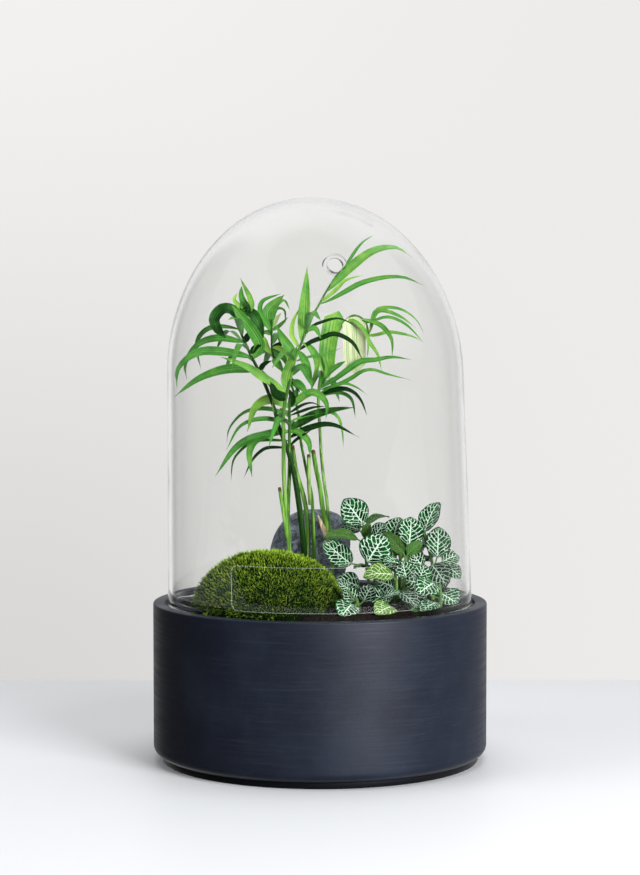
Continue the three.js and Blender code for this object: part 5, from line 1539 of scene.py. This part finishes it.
def make_stage():
    look = bpy.context.scene.terrarium_stage
    scene = bpy.context.scene
    mesh = bpy.data.meshes.new("floor")
    side, front, back, under = FLOOR.values()
    mesh.from_pydata([(x, y, z) for z in (0, under) for x, y in (
        (-side, front), (side, front), (side, back), (-side, back))], [], [
            (0, 1, 2, 3), (7, 6, 5, 4), (0, 4, 5, 1), (1, 5, 6, 2), (2, 6, 7, 3), (3, 7, 4, 0)])
    floor = bpy.data.objects.new("floor", mesh)
    mesh.materials.append(floor_finish())
    scene.collection.objects.link(floor)
    floor.visible_glossy = False

    # The backdrop as it is seen, straight or through the glass, and the light that it gives,
    # in a room that is dark in front.
    world = bpy.data.worlds.new("pale studio")
    scene.world = world
    world.use_nodes = True
    tree = world.node_tree
    tree.nodes.clear()
    way = node(tree, "ShaderNodeTexCoord").outputs["Generated"]
    axes = axes_of(tree, way)
    wall = look.wall
    right = between(tree, axes[0], -0.14, 0.14)
    up = between(tree, axes[2], -0.19, 0.15)
    low = blend(tree, right, [0.85 * c for c in wall], [1.05 * c for c in wall])
    high = blend(tree, right, [1.12 * c for c in wall], [1.06 * c for c in wall])
    seen = blend(tree, up, low, high)
    light = calc(tree, "MULTIPLY", between(tree, axes[0], -0.62, -0.42, 0.12, 1.15), between(
        tree, axes[0], 0.4, 0.7, 0.75, 0.30))
    light = calc(tree, "MULTIPLY", light, between(tree, axes[1], -0.1, 0.4))
    ray = node(tree, "ShaderNodeLightPath").outputs
    light = calc(tree, "MULTIPLY", light, calc(
        tree, "MULTIPLY_ADD", ray["Is Glossy Ray"], 0.55, 0.45))
    light = calc(tree, "ADD", light, between(tree, axes[2], 0.5, 0.9, 0.01, 0.20))
    straight = calc(tree, "MAXIMUM", ray["Is Camera Ray"], ray["Is Transmission Ray"])
    straight = calc(tree, "MULTIPLY", straight, calc(tree, "LESS_THAN", calc(
        tree, "ADD", ray["Glossy Depth"], ray["Diffuse Depth"]), 0.5))
    glow = node(tree, "ShaderNodeCombineXYZ", {0: light, 1: light, 2: light}).outputs[0]
    backdrop = node(tree, "ShaderNodeBackground", {"Strength": 1.0})
    tree.links.new(blend(tree, straight, glow, seen), backdrop.inputs["Color"])
    end = node(tree, "ShaderNodeOutputWorld")
    tree.links.new(backdrop.outputs[0], end.inputs[0])

    for name, (at, aim, size, share, left_out) in SOFTBOXES.items():
        box = softbox(name, at, aim, size, look.key * share)
        linked = bpy.data.collections.new(f"{name} leaves out")
        for piece in left_out:
            linked.objects.link(bpy.data.objects[piece])
        for entry in linked.collection_objects:
            entry.light_linking.link_state = "EXCLUDE"
        box.light_linking.receiver_collection = linked

    camera = bpy.data.cameras.new("camera")
    camera.lens, camera.sensor_width = CAMERA["lens"], CAMERA["sensor"]
    made = bpy.data.objects.new("camera", camera)
    made.location = CAMERA["at"]
    made.rotation_euler = (math.radians(CAMERA["tilt"]), 0.0, 0.0)
    scene.collection.objects.link(made)
    scene.camera = made
    scene.view_settings.view_transform = "Standard"


# ---------------------------------------------------------------- operators and panel
class BowlOperator(bpy.types.Operator):
    """Turn the dark clay bowl with its ledge and recessed foot"""
    bl_idname = "terrarium.bowl"
    bl_label = "Bowl"

    def execute(self, context):
        make_bowl()
        return {"FINISHED"}


class FillingOperator(bpy.types.Operator):
    """Give the drainage layer its pebbles and fill the bowl with crumbly soil"""
    bl_idname = "terrarium.filling"
    bl_label = "Pebbles and soil"

    def execute(self, context):
        make_filling()
        return {"FINISHED"}


class DomeOperator(bpy.types.Operator):
    """Blow the glass dome with its bottom bead and ring vent"""
    bl_idname = "terrarium.dome"
    bl_label = "Glass dome"

    def execute(self, context):
        make_dome()
        return {"FINISHED"}


class LabelOperator(bpy.types.Operator):
    """Wrap the bare clear label film on the dome"""
    bl_idname = "terrarium.label"
    bl_label = "Label film"

    def execute(self, context):
        make_label()
        return {"FINISHED"}


class StoneOperator(bpy.types.Operator):
    """Lay the river-worn stone"""
    bl_idname = "terrarium.stone"
    bl_label = "River stone"

    def execute(self, context):
        make_stone()
        return {"FINISHED"}


class MossOperator(bpy.types.Operator):
    """Grow the moss cushion and its shoots"""
    bl_idname = "terrarium.moss"
    bl_label = "Moss cushion"

    def execute(self, context):
        make_moss()
        return {"FINISHED"}


class PalmOperator(bpy.types.Operator):
    """Grow the five palm seedlings"""
    bl_idname = "terrarium.palms"
    bl_label = "Palm seedlings"

    def execute(self, context):
        make_palms()
        return {"FINISHED"}


class NerveOperator(bpy.types.Operator):
    """Grow the nerve plant's leafy stems"""
    bl_idname = "terrarium.nerves"
    bl_label = "Nerve plant"

    def execute(self, context):
        make_nerves()
        return {"FINISHED"}


class StageOperator(bpy.types.Operator):
    """Set the floor, backdrop, lights and camera"""
    bl_idname = "terrarium.stage"
    bl_label = "Stage"

    def execute(self, context):
        make_stage()
        return {"FINISHED"}


OPERATORS = (BowlOperator, FillingOperator, DomeOperator, LabelOperator, StoneOperator,
             MossOperator, PalmOperator, NerveOperator, StageOperator)


class TerrariumPanel(bpy.types.Panel):
    """Lists the parts of the planted dome"""
    bl_idname = "VIEW3D_PT_planted_dome"
    bl_label = "Planted dome"
    bl_space_type = "VIEW_3D"
    bl_region_type = "UI"
    bl_category = "Planted dome"

    def draw(self, context):
        column = self.layout.column()
        for group in GROUPS:
            box = column.box()
            values = getattr(context.scene, group)
            for key in values.bl_rna.properties.keys():
                if key not in ("rna_type", "name"):
                    box.prop(values, key)
        for operator in OPERATORS:
            column.operator(operator.bl_idname)


def register():
    for name, group in GROUPS.items():
        bpy.utils.register_class(group)
        setattr(bpy.types.Scene, name, bpy.props.PointerProperty(type=group))
    for made in (*OPERATORS, TerrariumPanel):
        bpy.utils.register_class(made)


def unregister():
    for made in (TerrariumPanel, *reversed(OPERATORS)):
        bpy.utils.unregister_class(made)
    for name, group in GROUPS.items():
        delattr(bpy.types.Scene, name)
        bpy.utils.unregister_class(group)


def main():
    register()
    for operator in OPERATORS:
        getattr(bpy.ops.terrarium, operator.bl_idname.split(".")[1])()


if __name__ == "__main__":
    main()
